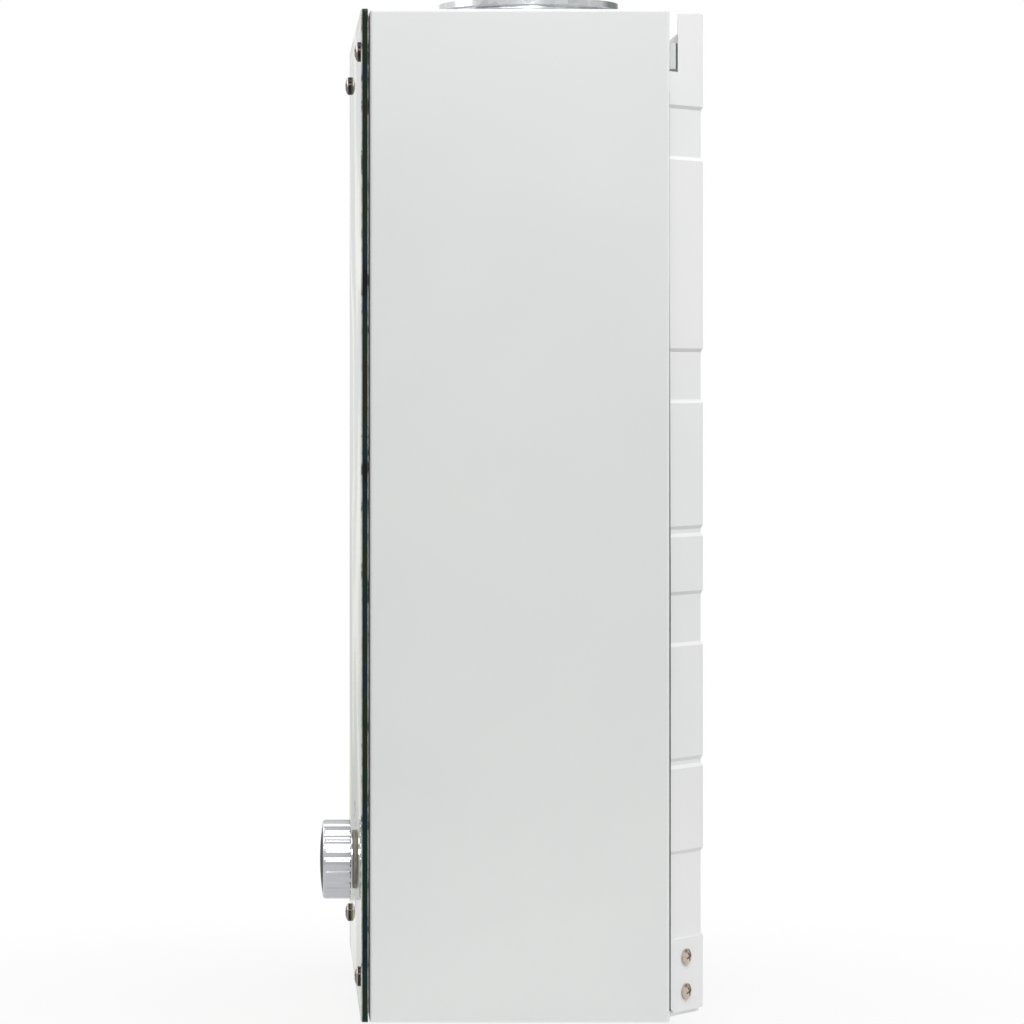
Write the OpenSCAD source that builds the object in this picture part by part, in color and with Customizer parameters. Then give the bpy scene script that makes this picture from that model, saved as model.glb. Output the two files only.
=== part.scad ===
// Wall-hung instantaneous gas water heater with a glass front.
// The wall is the plane y = 0, the front faces -Y and +Z is up. Sizes are in millimetres.
// The modules work from the bottom edge of the casing, and place() moves them to the part's origin,
// which lies on the wall midway between the two hanging holes.

/* [Casing] */
// Width of the painted casing
casing_w = 330; // [310:1:370]
// Height of the painted casing
casing_h = 550; // [530:1:620]
// Depth of the casing from its front face to its rear edge
casing_d = 162.8; // [150:0.2:190]
// Thickness of the casing sheet
casing_t = 0.8; // [0.6:0.1:1.2]
// Outside radius of the casing's bends
casing_r = 1.6; // [1.2:0.2:4]
// Width of the lip folded inwards along the rear edges
rear_lip = 9; // [7:1:12]
// Width of the lip folded inwards round the bottom
bottom_lip = 12; // [9:1:16]

/* [Glass front] */
// Thickness of the glass
glass_t = 4; // [3:0.5:6]
// How far the glass stands past the casing on each side
glass_overhang = 0.5; // [0:0.1:2]
// Gap between the glass and the casing, set by the spacers
glass_gap = 0.8; // [0.6:0.1:3]
// Radius of the glass corners
glass_r = 4; // [2:0.5:10]
// Distance of the glass screws from the side edges of the glass
glass_screw_side = 25; // [18:1:40]
// Distance of the glass screws from the top and bottom edges of the glass
glass_screw_end = 22; // [16:1:35]
// Diameter of a glass screw's head
glass_head_d = 11; // [8:0.5:13]
// Diameter of a glass screw's shank
glass_shank_d = 5; // [4:0.5:6]

/* [Knob] */
// Diameter of the knob
knob_d = 45.8; // [40:0.2:54]
// Length of the knob without its cap
knob_l = 17.1; // [16:0.1:24]
// How far the cap stands out of the knob
cap_proud = 1.4; // [0.4:0.1:2]
// Radius of the knob's front edge
knob_r = 1.8; // [1:0.1:3]
// Gap between the knob and the glass
knob_gap = 1.7; // [0.8:0.1:3]
// Height of the knob's axis above the bottom of the casing
knob_h = 70; // [66:1:78]
// Number of flutes round the knob
knob_flutes = 20; // [14:1:24]
// Diameter of the neck ring between the knob and the glass
neck_d = 34; // [26:1:38]
// Diameter of the spindle
spindle_d = 8; // [6:0.5:10]

/* [Back plate] */
// Thickness of the back plate sheet
back_t = 1; // [0.8:0.1:1.5]
// How far the back plate stands out behind the casing
tray_d = 21.8; // [18:0.2:26]
// How far each sloping wall runs inwards on its way to the wall
slope_run = 28; // [22:1:34]
// How far the straight flange reaches into the casing
flange_l = 14; // [10:1:20]
// Bend radius of the back plate
tray_r = 3; // [2.5:0.5:5]
// Depth of the pressed bands
band_depth = 1.2; // [0.8:0.1:2]
// Height of a pressed band
band_h = 30; // [20:1:40]
// Share of the casing's height from its top to the middle of the first band
first_band_share = 0.12; // [0.11:0.005:0.135]
// Share of the casing's height from one band to the next
band_pitch_share = 0.242; // [0.23:0.001:0.25]
// Share of the casing's height that the pressed band at the foot takes
foot_band_share = 0.1655; // [0.14:0.0005:0.175]
// Height of the narrow grooves
groove_h = 6; // [5:0.5:8]
// Share of the casing's height from a band to the narrow groove above it
groove_share = 0.087; // [0.075:0.001:0.095]
// Height of the notch at the top of each sloping wall
notch_h = 33; // [26:1:40]
// Depth of that notch behind the casing
notch_d = 6; // [4:0.5:9]
// How far the sloping walls stop short of the casing's top at their front edge
wall_drop = 1.9; // [1:0.1:6]
// Rise of the sloping walls' top edge towards the wall, in degrees
wall_rise = 5.5; // [0:0.5:8]
// How far the rear of the back plate stands above the casing
rear_rise = 0.3; // [0:0.1:3]

/* [Wall fixing] */
// Distance of the hanging holes below the top of the casing
hang_drop = 30; // [22:1:38]
// Distance between the two hanging holes
hang_spacing = 200; // [160:1:210]
// Diameter of a hanging hole
hang_hole_d = 8; // [6:0.5:10]
// Distance between the two lower fixing holes
foot_spacing = 180; // [150:1:200]
// Diameter of a lower fixing hole
foot_hole_d = 7; // [5:0.5:9]
// Height of the lower bracket
bracket_h = 40; // [34:1:50]
// Height of the lower bracket above the bottom of the casing
bracket_z = 3; // [2:0.5:8]
// Distance between the two screws on each end of the bracket
bracket_screw_pitch = 19; // [15:1:22]
// Diameter of a bracket screw's head
bracket_head_d = 8.8; // [7:0.1:11]

/* [Flue] */
// Outside diameter of the flue collar
collar_d = 104; // [90:1:108]
// Height of the collar above the casing
collar_rise = 16; // [12:1:40]
// Distance of the collar's axis behind the middle of the casing
collar_offset = 14.6; // [10:0.2:18]
// Thickness of the collar and hood sheet
flue_t = 0.8; // [0.6:0.1:1.2]
// Share of the casing's height that the draught hood takes
hood_share = 0.211; // [0.19:0.001:0.22]
// Distance from the top of the hood to the top of the casing
hood_drop = 14; // [10:1:24]

/* [Heat exchanger] */
// Space between the fire chamber and the casing on each side
chamber_side = 50; // [48:1:56]
// Space in front of and behind the fire chamber
chamber_space = 21.4; // [20:0.2:26]
// Share of the casing's height that the fire chamber takes
chamber_share = 0.231; // [0.22:0.001:0.25]
// Thickness of the copper sheet
copper_t = 0.8; // [0.6:0.1:1.2]
// Height of the fin block
fin_h = 48; // [40:1:54]
// Thickness of a fin
fin_t = 0.6; // [0.4:0.1:1]
// Distance from one fin to the next
fin_pitch = 6; // [5:0.5:10]
// Outside diameter of the water tube
tube_d = 14; // [12:0.5:15]
// Wall thickness of the water tube
tube_wall = 1; // [0.8:0.1:1.5]
// Distance from one tube to the next in the fin block
tube_pitch = 26; // [25:0.5:28]
// Distance between the two turns of tube round the chamber
coil_pitch = 40; // [36:1:44]

/* [Burner] */
// Number of burner blades
blade_count = 12; // [8:1:12]
// Space between the outer blades and the chamber's sides
blade_side = 4; // [3:0.5:8]
// Thickness of a blade
blade_t = 10; // [8:0.5:12]
// Height of a blade
blade_h = 56; // [50:1:60]
// Gap between the burner and the fire chamber
burner_gap = 5; // [3:0.5:10]

/* [Connections] */
// Outside diameter of the half-inch pipe thread
thread_d = 20.955; // [16:0.005:27]
// How far the threaded stubs reach below the casing
stub_drop = 14; // [12:1:30]
// Width across the flats of the hexagons
hex_af = 30; // [28:1:32]
// Place of the gas inlet across the width
gas_x = -20; // [-24:1:-16]
// Distance of the hot water outlet from the left side of the casing
hot_side = 60; // [56:1:66]

/* [Battery box] */
// Diameter of a battery cell
cell_d = 33; // [30:0.5:34]
// Length of a battery cell
cell_l = 60; // [56:0.5:62]
// Distance of the battery box's middle from the right side of the casing
battery_side = 50; // [48:0.5:54]
// Distance of the battery box behind the flue's axis, towards the front when negative
battery_shift = -33; // [-34:0.5:-30]
// How thick the battery lid is
lid_t = 1.8; // [1.4:0.1:2.4]

/* [Clearances] */
// Gap between pieces that are fixed together round a bore
fit = 0.1; // [0.05:0.01:0.2]
// Gap round a shaft that turns
running = 0.05; // [0.02:0.01:0.1]
// Gap between pieces that move past each other
moving_gap = 0.4; // [0.3:0.05:0.8]
// Gap between the casing's rear lip and the back plate
lip_gap = 0.5; // [0.3:0.1:1.5]

/* [Hidden] */
$fn = 64;

// A cut runs this far past the surface that it goes through
over = 1;
// Length of a drill through one sheet, and of one through several pieces
sheet_drill = 10;
deep_drill = 40;

// Front stack, from the casing outwards
front_y = -(tray_d + casing_d);
glass_back_y = front_y - glass_gap;
glass_front_y = glass_back_y - glass_t;
knob_back_y = glass_front_y - knob_gap;
knob_front_y = knob_back_y - knob_l - cap_proud;
cap_d = knob_d - 6.2;
cap_seat = 1.6;
cap_groove = 0.3;
bush_wall = 4;
bush_d = spindle_d + 2 * bush_wall;
glass_half_w = casing_w / 2 + glass_overhang;
glass_screw_x = glass_half_w - glass_screw_side;
glass_screw_z = [glass_screw_end - glass_overhang, casing_h + glass_overhang - glass_screw_end];

// Sizes that follow the casing's
chamber_w = casing_w - 2 * chamber_side;
chamber_d = casing_d - 2 * chamber_space;
chamber_h = casing_h * chamber_share;
hood_h = casing_h * hood_share;
first_band = casing_h * first_band_share;
band_pitch = casing_h * band_pitch_share;
foot_band_h = casing_h * foot_band_share;
groove_rise = casing_h * groove_share;
hot_x = hot_side - casing_w / 2;
battery_x = casing_w / 2 - battery_side;

// Outline of the back plate
tray_top = casing_h + rear_rise;
tray_half = casing_w / 2 - rear_lip - lip_gap;
wall_half = tray_half - slope_run;
slope_angle = atan2(slope_run, tray_d);
slope_mid = [(tray_half + wall_half) / 2, -tray_d / 2];
bend_steps = 4;
band_ramp = 2;
flat_r = tray_r - back_t;

// Bottom plate
plate_t = 1.2;
plate_z = casing_t;
plate_top = plate_z + plate_t;
plate_inset = band_depth + back_t + fit;
plate_rim_h = 30;
tab_x = 60;
tab_w = 30;
tab_screw_y = front_y + bottom_lip / 2;
slot_pitch = 14;
slot_w = 6;
slot_l = 36;
slot_pairs = 5;

// Lower bracket and its screws
bracket_screw_z = [for (s = [-0.5, 0.5]) bracket_z + bracket_h / 2 + s * bracket_screw_pitch];
bracket_shank_d = 4;
bracket_head_h = 2.6;
corner_cut = 5;
foot_hole_z = bracket_z + bracket_h / 2;
screw_spare = 4;
glass_spare = 7;

// Hooks in the notches of the back plate
hook_t = 1.2;
hook_h = 14;
hook_foot = 14;
hook_lift = 1.7;
hook_y = -tray_d - casing_t - moving_gap - hook_t / 2;

// Heights of the hot parts, stacked down from the hood
flue_y = front_y + casing_d / 2 + collar_offset;
collar_gap = 3;
collar_foot = 6;
hood_top = casing_h - hood_drop;
hood_z = hood_top - hood_h;
fin_z = hood_z - fin_h;
chamber_z = fin_z - chamber_h;
tube_z = fin_z + fin_h / 2;
blade_top = chamber_z - burner_gap;
blade_z = blade_top - blade_h;
blade_pitch = (chamber_w - 2 * blade_side) / blade_count;

// Water tube round the chamber
tube_bend = 11;
chamber_r = tube_bend - tube_d / 2;
tube_gap = 0.3;
coil_half_w = chamber_w / 2 + tube_d / 2 + tube_gap;
coil_half_d = chamber_d / 2 + tube_d / 2 + tube_gap;
coil_z = chamber_z + 45;
coil_start_z = coil_z - 34;
tube_end_x = chamber_w / 2 + 6;
tube_row = [for (k = [0:3]) flue_y + (1.5 - k) * tube_pitch];
hot_run_x = coil_half_w + tube_d + 4;
chamber_bracket_t = 1.5;
chamber_bracket_w = 20;

// Electrodes through the chamber's front
electrode_x = [-14, 14];
electrode_z = chamber_z + 16;
electrode_plate_t = 1.5;
ceramic_d = 7;
ceramic_out = 20;
ceramic_in = 12;
shoulder_d = 11;
shoulder_h = 5;
wire_d = 2.2;
spark_wire_l = 16;
sensor_wire_l = 26;

// Gas and water valves
valve_w = 66;
valve_d = 52;
valve_h = 50;
valve_z = knob_h - valve_h / 2;
valve_top = knob_h + valve_h / 2;
valve_front_y = flue_y - valve_d / 2;
boss_d = 28;
boss_l = 32;
gland_l = 8;
gland_af = 20;
solenoid_d = 26;
solenoid_l = 34;
core_d = 12;
core_l = 5;
gland_y = valve_front_y - boss_l;
spindle_depth = 20;
water_w = 32;
water_d = 36;
water_h = 44;
cast_r = 3;
switch_w = 22;
switch_d = 10;
switch_h = 12;
disc_d = 60;
disc_t = 12;
diaphragm_pcd = disc_d - 10;
cover_head_d = 7;
cover_head_h = 2;
cover_shank_d = 4;
cover_boss_d = 22;
gas_side_x = gas_x + valve_w / 2;
cover_boss_l = 3;
disc_x = gas_side_x + cover_boss_l;
water_x = disc_x + 2 * disc_t;
cold_x = water_x + water_w / 2;
riser_turn_z = valve_top + (blade_z - valve_top) * 0.52;
gas_turn_z = valve_top + (blade_z - valve_top) * 0.46;
manifold_y = flue_y - chamber_d / 2 - 4;
manifold_s = 16;
manifold_r = 1;
frame_t = 1.5;
jet_af = 8;
jet_hex_h = 2;
jet_tip_h = 1.6;
manifold_z = blade_z + 8;
hot_jog_z = 58;

// Control box
control_w = 52;
control_d = 25;
plug_h = 6;

// Fittings in the bottom plate
locknut_h = 5;
hex_h = 8;
neck_pipe_d = 20;
pipe_bore_d = 13;
union_af = 24;
union_h = 14;
hot_neck_z = plate_top + hex_h + 4;
hot_y = tube_row[3];

// Battery box
well_d = cell_d + 0.6;
well_pitch = well_d + 1.4;
box_wall = 2;
box_w = well_pitch + well_d + 2 * box_wall;
box_d = well_d + 2 * box_wall;
box_rim = 3.5;
box_rim_t = 1.5;
lid_z = -0.6;
lid_top = lid_z + lid_t;
box_z = lid_top + moving_gap;
well_h = cell_l + 3;
box_top = box_z + well_h + box_wall;
battery_y = flue_y + battery_shift;
box_left = battery_x - box_w / 2;
hinge_r = 2;
hinge_x = box_left - hinge_r - moving_gap;
hinge_z = lid_z + lid_t / 2;
pin_d = 2;
ear_t = 4;
ear_gap = 24;

// Shifts the heater so that its hanging holes lie at the origin
module place() translate([0, 0, hang_drop - casing_h]) children();

// Drill or pin along Z, centred on the origin
module drill(d, l) cylinder(d = d, h = l, center = true);

// Rectangle with round corners, centred on the origin
module rounded_rect(w, h, r) {
    square([w - 2 * r, h], center = true);
    square([w, h - 2 * r], center = true);
    for (x = [-1, 1], y = [-1, 1])
        translate([x * (w / 2 - r), y * (h / 2 - r)]) circle(r = r);
}

// Block standing on z = 0 with its upright edges and its top edges rounded
module soft_block(w, d, h, r) {
    linear_extrude(h - r) rounded_rect(w, d, r);
    linear_extrude(h) square([w - 2 * r, d - 2 * r], center = true);
    for (y = [-1, 1])
        translate([0, y * (d / 2 - r), h - r]) rotate([0, 90, 0])
            cylinder(r = r, h = w - 2 * r, center = true);
    for (x = [-1, 1])
        translate([x * (w / 2 - r), 0, h - r]) rotate([90, 0, 0])
            cylinder(r = r, h = d - 2 * r, center = true);
    for (x = [-1, 1], y = [-1, 1])
        translate([x * (w / 2 - r), y * (d / 2 - r), h - r]) sphere(r = r);
}

// Edge of a bent strip of sheet, with its middle on the points p
module strip(p, t) {
    for (i = [0:len(p) - 2]) {
        run = p[i + 1] - p[i];
        translate(p[i]) rotate(atan2(run.y, run.x)) translate([0, -t / 2]) square([norm(run), t]);
    }
    for (i = [1:len(p) - 2]) translate(p[i]) circle(d = t);
}

// Turns +Z to point out of the front of the heater
module facing_front() rotate([90, 0, 0]) children();

// Turns +Z to point along +X
module along_x() rotate([0, 90, 0]) children();

// Box given by its lowest corner and its highest corner
module span(low, high) translate(low) cube(high - low);

// Pan-head screw along +Z, with its head standing on z = 0 and a cross recess in the head
module pan_screw(head_d, head_h, shank_d, shank_l) {
    rim_h = head_h * 0.4;
    crown_h = head_h - rim_h;
    crown_r = (head_d * head_d / 4 + crown_h * crown_h) / (2 * crown_h);
    slot_w = head_d * 0.11;
    slot_l = head_d * 0.55;
    difference() {
        union() {
            cylinder(d = head_d, h = rim_h);
            intersection() {
                translate([0, 0, head_h - crown_r]) sphere(r = crown_r);
                cylinder(d = head_d, h = head_h + over);
            }
            translate([0, 0, -shank_l]) cylinder(d = shank_d, h = shank_l + head_h / 4);
        }
        for (a = [0, 90])
            rotate([0, 0, a + 20]) translate([-slot_l / 2, -slot_w / 2, head_h * 0.55])
                cube([slot_l, slot_w, head_h]);
    }
}

// Hexagon across flats af, standing on z = 0, with a round bore
module hex_ring(af, h, bore_d) {
    difference() {
        cylinder(d = af / cos(30), h = h, $fn = 6);
        translate([0, 0, -over]) cylinder(d = bore_d, h = h + 2 * over);
    }
}

// Round bar along a line of points, with bends of radius r
function unit(v) = v / norm(v);
function turn_at(p, i) = acos(unit(p[i] - p[i - 1]) * unit(p[i + 1] - p[i]));
function trim_at(p, i, r) = i == 0 || i == len(p) - 1 ? 0 : r * tan(turn_at(p, i) / 2);
module in_frame(e1, e2, at) {
    e3 = cross(e1, e2);
    multmatrix([
        [e1.x, e2.x, e3.x, at.x],
        [e1.y, e2.y, e3.y, at.y],
        [e1.z, e2.z, e3.z, at.z],
        [0, 0, 0, 1]]) children();
}
module pipe_run(p, d, r) {
    for (i = [0:len(p) - 2]) {
        u = unit(p[i + 1] - p[i]);
        start = p[i] + trim_at(p, i, r) * u;
        run = norm(p[i + 1] - p[i]) - trim_at(p, i, r) - trim_at(p, i + 1, r);
        side = unit(cross(u, abs(u.z) > 0.9 ? [1, 0, 0] : [0, 0, 1]));
        if (run > 0.01) in_frame(side, cross(u, side), start) cylinder(d = d, h = run);
    }
    for (i = [1:len(p) - 2]) {
        u = unit(p[i] - p[i - 1]);
        v = unit(p[i + 1] - p[i]);
        inward = unit(v - (u * v) * u);
        start = p[i] - trim_at(p, i, r) * u;
        in_frame(-inward, u, start + r * inward)
            rotate_extrude(angle = turn_at(p, i)) translate([r, 0]) circle(d = d);
    }
}

// The same path as a tube that is open at both ends
module tube_run(p, r) {
    last = len(p) - 1;
    head = p[0] - over * unit(p[1] - p[0]);
    tail = p[last] + over * unit(p[last] - p[last - 1]);
    difference() {
        pipe_run(p, tube_d, r);
        pipe_run([for (i = [0:last]) i == 0 ? head : i == last ? tail : p[i]], tube_d - 2 * tube_wall, r);
    }
}

// Points of a bend: the path heads along an angle in degrees, reaches p and turns left
function bend(p, heading, turn, r) = let (
    t = r * tan(turn / 2),
    c = p - t * [cos(heading), sin(heading)] + r * [-sin(heading), cos(heading)])
    [for (k = [0:bend_steps]) let (a = heading + turn * k / bend_steps) c + r * [sin(a), -cos(a)]];

// Plan of the back plate drawn in by inset, reaching a given distance in front of the slopes
function tray_side(inset, reach, r) = concat(
    [[tray_half - inset, -(tray_d + reach)]],
    bend([tray_half - inset, -tray_d - inset * tan(slope_angle / 2)], 90, slope_angle, r),
    bend([wall_half - inset * tan(45 - slope_angle / 2), -inset], 90 + slope_angle, 90 - slope_angle, r));
function mirrored(p) = [for (k = [len(p) - 1:-1:0]) [-p[k].x, p[k].y]];
function tray_outline(inset, reach, r) = let (s = tray_side(inset, reach, r)) concat(s, mirrored(s));
function at_height(p, z) = [for (q = p) [q.x, q.y, z]];

// Solid skinned through rings of points, listed from the bottom up
module loft(rings) {
    n = len(rings[0]);
    last = len(rings) - 1;
    sides = [for (i = [0:last - 1], j = [0:n - 1]) let (
        a = i * n + j, b = a + n, c = (i + 1) * n + (j + 1) % n, d = i * n + (j + 1) % n)
        each [[a, b, c], [a, c, d]]];
    caps = [[for (j = [0:n - 1]) j], [for (j = [n - 1:-1:0]) last * n + j]];
    polyhedron([for (r = rings) each r], concat(sides, caps));
}
function rect_ring(w, d, z) =
    [for (c = [[1, -1], [1, 1], [-1, 1], [-1, -1]]) [c.x * w / 2, c.y * d / 2, z]];

// Pressed bands of the back plate from the foot up, as [bottom, top]
function band_at(k) = casing_h - first_band - k * band_pitch;
function recess(mid, h) = [mid - h / 2, mid + h / 2];
recesses = [
    recess(foot_band_h + groove_rise, groove_h),
    recess(band_at(2), band_h),
    recess(band_at(2) + groove_rise, groove_h),
    recess(band_at(1), band_h),
    recess(band_at(0), band_h)];
band_levels = concat(
    [[foot_band_h - band_ramp, band_depth], [foot_band_h, 0]],
    [for (b = recesses) each [
        [b[0], 0], [b[0] + band_ramp, band_depth], [b[1] - band_ramp, band_depth], [b[1], 0]]]);

// Rings of the tray skin at depth sheet below its outer face
module tray_solid(sheet, bottom, top, reach, r) {
    levels = concat([[bottom, band_depth]], band_levels, [[top, 0]]);
    loft([for (l = levels) at_height(tray_outline(l[1] + sheet, reach, r), l[0])]);
}

// Puts +Z of a piece along the outward normal of a sloping wall
module on_slope(side, z) {
    translate([side * slope_mid.x, slope_mid.y, z])
        rotate([0, 90, side > 0 ? slope_angle : 180 - slope_angle]) children();
}

// Holes that pass through the back plate and whatever lies against it
module bracket_screw_holes(d) {
    for (side = [-1, 1], z = bracket_screw_z)
        on_slope(side, z) drill(d, deep_drill);
}
module foot_holes() {
    for (x = [-1, 1])
        translate([x * foot_spacing / 2, 0, foot_hole_z]) facing_front() drill(foot_hole_d, deep_drill);
}

module back_plate() color("white") difference() {
    tray_solid(0, bracket_z, tray_top, flange_l, tray_r);
    tray_solid(back_t, bracket_z - over, tray_top + over, flange_l + over, flat_r);
    for (side = [-1, 1]) {
        translate([side * (tray_half + wall_half) / 2, -tray_d, casing_h - wall_drop])
            rotate([wall_rise, 0, 0]) translate([0, 0, tray_d])
                cube([slope_run + 4 * tray_r, 8 * tray_d, 2 * tray_d], center = true);
        translate([side * tray_half, -tray_d + notch_d - 2 * flange_l, casing_h])
            cube([2 * slope_run, 4 * flange_l, 2 * notch_h], center = true);
    }
    for (x = [-1, 1])
        translate([x * hang_spacing / 2, 0, casing_h - hang_drop])
            facing_front() drill(hang_hole_d, deep_drill);
    bracket_screw_holes(bracket_shank_d + 2 * fit);
    foot_holes();
}

// Hooks in the notches of the back plate: each has a foot on the sloping wall, a tongue into the casing
// and an end turned out behind the casing's rear lip
module top_hooks() color("white") {
    along = [-sin(slope_angle), cos(slope_angle)];
    inward = [-cos(slope_angle), -sin(slope_angle)];
    seat = slope_mid + (back_t + fit + hook_t / 2) * inward;
    knee = seat + (notch_d - tray_d - hook_t - seat.y) / along.y * along;
    path = [knee + hook_foot * along, knee, [knee.x, hook_y], [casing_w / 2 - casing_t - 2, hook_y]];
    for (side = [0, 1])
        mirror([side, 0, 0]) translate([0, 0, casing_h - notch_h + hook_lift])
            linear_extrude(hook_h) strip(path, hook_t);
}

// Strap round the foot of the back plate, seated in its foot band
module lower_bracket() color("white") difference() {
    translate([0, 0, bracket_z]) linear_extrude(bracket_h) polygon(tray_outline(0, flange_l, tray_r));
    linear_extrude(casing_h) polygon(tray_outline(band_depth, flange_l + over, tray_r));
    span([-casing_w, -tray_d - 2 * flange_l, 0], [casing_w, -tray_d + moving_gap, casing_h]);
    for (side = [-1, 1])
        translate([side * tray_half, -tray_d + moving_gap, bracket_z]) rotate([45, 0, 0])
            cube([slope_run, corner_cut, corner_cut], center = true);
    bracket_screw_holes(bracket_shank_d + 2 * fit);
    foot_holes();
}

module bracket_screws() color("silver") {
    shank_l = band_depth + back_t + plate_t + screw_spare;
    for (side = [-1, 1], z = bracket_screw_z)
        on_slope(side, z) pan_screw(bracket_head_d, bracket_head_h, bracket_shank_d, shank_l);
}

// Floor of the heater, with tabs that rest on the casing's lip
module bottom_plate() color("gainsboro") difference() {
    union() {
        translate([0, 0, plate_z]) linear_extrude(plate_t) difference() {
            polygon(tray_outline(plate_inset, casing_d, tray_r));
            translate([-casing_w, hot_y - hex_af / 2 - 5 - casing_d]) square([2 * casing_w, casing_d]);
        }
        for (x = [-1, 1])
            span([x * tab_x - tab_w / 2, front_y + casing_t + moving_gap, plate_z],
                [x * tab_x + tab_w / 2, hot_y, plate_top]);
    }
    for (p = [[gas_x, flue_y], [cold_x, flue_y], [hot_x, hot_y]])
        translate([p.x, p.y, 0]) drill(neck_pipe_d + 4 * fit, sheet_drill);
    span([hinge_x - hinge_r - 2 * moving_gap, battery_y - box_d / 2 - fit, -over],
        [box_left + box_w + fit, battery_y + box_d / 2 + fit, plate_top + over]);
    for (k = [-slot_pairs:slot_pairs])
        translate([k * slot_pitch, (flue_y + hex_af / 2) / 2 - slot_w, 0])
            linear_extrude(sheet_drill) rounded_rect(slot_w, slot_l, slot_w / 2 - 0.1);
    for (x = [-1, 1])
        translate([x * tab_x, tab_screw_y, 0]) drill(bracket_shank_d + 2 * fit, sheet_drill);
}

// Upstand of the floor: a strip that lies inside the foot of the back plate
module floor_rim() color("gainsboro") difference() {
    translate([0, 0, plate_top]) linear_extrude(plate_rim_h) difference() {
        polygon(tray_outline(plate_inset, flange_l, tray_r));
        polygon(tray_outline(plate_inset + plate_t, flange_l + over, tray_r));
    }
    bracket_screw_holes(bracket_shank_d + 2 * fit);
    foot_holes();
}

// Painted cover: front, sides and top in one shell, open behind and below
module casing() color("white") translate([0, front_y + casing_d / 2, 0]) difference() {
    union() {
        difference() {
            soft_block(casing_w, casing_d, casing_h, casing_r);
            translate([0, 0, -over]) soft_block(casing_w - 2 * casing_t, casing_d - 2 * casing_t,
                casing_h - casing_t + over, casing_r - casing_t);
        }
        linear_extrude(casing_t) difference() {
            rounded_rect(casing_w, casing_d, casing_r);
            translate([0, bottom_lip]) square([casing_w - 2 * bottom_lip, casing_d], center = true);
        }
    }
    span([-casing_w / 2 + rear_lip, casing_d / 2 - casing_r, -over],
        [casing_w / 2 - rear_lip, casing_d / 2 + over, casing_h - rear_lip]);
    for (x = [-1, 1], z = glass_screw_z)
        translate([x * glass_screw_x, -casing_d / 2, z])
            facing_front() drill(glass_shank_d + 4 * fit, sheet_drill);
    translate([0, -casing_d / 2, knob_h]) facing_front() drill(bush_d + 4 * fit, sheet_drill);
    translate([0, flue_y - front_y - casing_d / 2, casing_h]) drill(collar_d + 2 * collar_gap, sheet_drill);
    for (x = [-1, 1])
        translate([x * tab_x, tab_screw_y - front_y - casing_d / 2, 0])
            drill(bracket_shank_d + 2 * fit, sheet_drill);
}

module casing_screws() color("silver")
    for (x = [-1, 1])
        translate([x * tab_x, tab_screw_y, 0]) rotate([180, 0, 0])
            pan_screw(bracket_head_d, bracket_head_h, bracket_shank_d, plate_top + screw_spare);

// Glass pane with holes for its four screws and the knob bush
module glass_panel() color([0.1, 0.3, 0.25, 0.6])
    translate([0, glass_back_y, casing_h / 2]) facing_front() linear_extrude(glass_t) difference() {
        rounded_rect(2 * glass_half_w, casing_h + 2 * glass_overhang, glass_r);
        for (x = [-1, 1], z = glass_screw_z)
            translate([x * glass_screw_x, z - casing_h / 2]) circle(d = glass_shank_d + 4 * fit);
        translate([0, knob_h - casing_h / 2]) circle(d = bush_d + 4 * fit);
    }

// Repeats a piece at the four glass screws, with +Z out of the front from the given depth
module at_glass_screws(y) {
    for (x = [-1, 1], z = glass_screw_z)
        translate([x * glass_screw_x, y, z]) facing_front() children();
}

module glass_spacers() color("dimgray") at_glass_screws(front_y) difference() {
    cylinder(d = glass_head_d + 3, h = glass_gap);
    translate([0, 0, -over]) cylinder(d = glass_shank_d + 4 * fit, h = glass_gap + 2 * over);
}

module glass_screws() color("silver") at_glass_screws(glass_front_y)
    pan_screw(glass_head_d, 3.1, glass_shank_d, glass_t + glass_gap + casing_t + glass_spare);

module glass_nuts() color("silver") at_glass_screws(front_y + casing_t + 4)
    hex_ring(glass_shank_d * 1.6, 4, glass_shank_d + 2 * fit);

// Bush that lines the knob's hole through the glass and the casing
module knob_bush() color("dimgray")
    translate([0, glass_front_y, knob_h]) facing_front() difference() {
        sleeve_l = glass_t + glass_gap + casing_t + 2;
        union() {
            cylinder(d = neck_d, h = knob_gap - moving_gap);
            translate([0, 0, -sleeve_l]) cylinder(d = bush_d, h = sleeve_l);
        }
        drill(spindle_d + 2 * moving_gap, deep_drill);
    }

// Fluted knob, with a recess for its cap and a flatted bore for the spindle
module knob() color("silver") translate([0, knob_back_y, knob_h]) facing_front() {
    flute_r = 3.6;
    flute_depth = 0.8;
    difference() {
        rotate_extrude() {
            square([knob_d / 2 - knob_r, knob_l]);
            square([knob_d / 2, knob_l - knob_r]);
            translate([knob_d / 2 - knob_r, knob_l - knob_r]) circle(r = knob_r);
        }
        for (k = [0:knob_flutes - 1])
            rotate([0, 0, (k + 0.5) * 360 / knob_flutes])
                translate([knob_d / 2 + flute_r - flute_depth, 0, -over])
                    cylinder(r = flute_r, h = knob_l + 2 * over);
        translate([0, 0, knob_l - cap_seat]) cylinder(d = cap_d + 2 * cap_groove, h = cap_seat + over);
        translate([0, 0, -over]) spindle_end(fit, knob_l - cap_seat - 2 + over);
    }
}

// Knob cap: a disc that stands proud of the knob, with a pointer groove towards its upper edge
module knob_cap() color("lightgray") translate([0, knob_front_y, knob_h]) rotate([-90, 0, 0]) difference() {
    union() {
        cylinder(d1 = cap_d - 2 * cap_proud, d2 = cap_d, h = cap_proud);
        translate([0, 0, cap_proud]) cylinder(d = cap_d, h = cap_seat);
    }
    span([-1, -cap_d / 2 + 3, -over], [1, -cap_d / 6, 0.5]);
}

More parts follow.
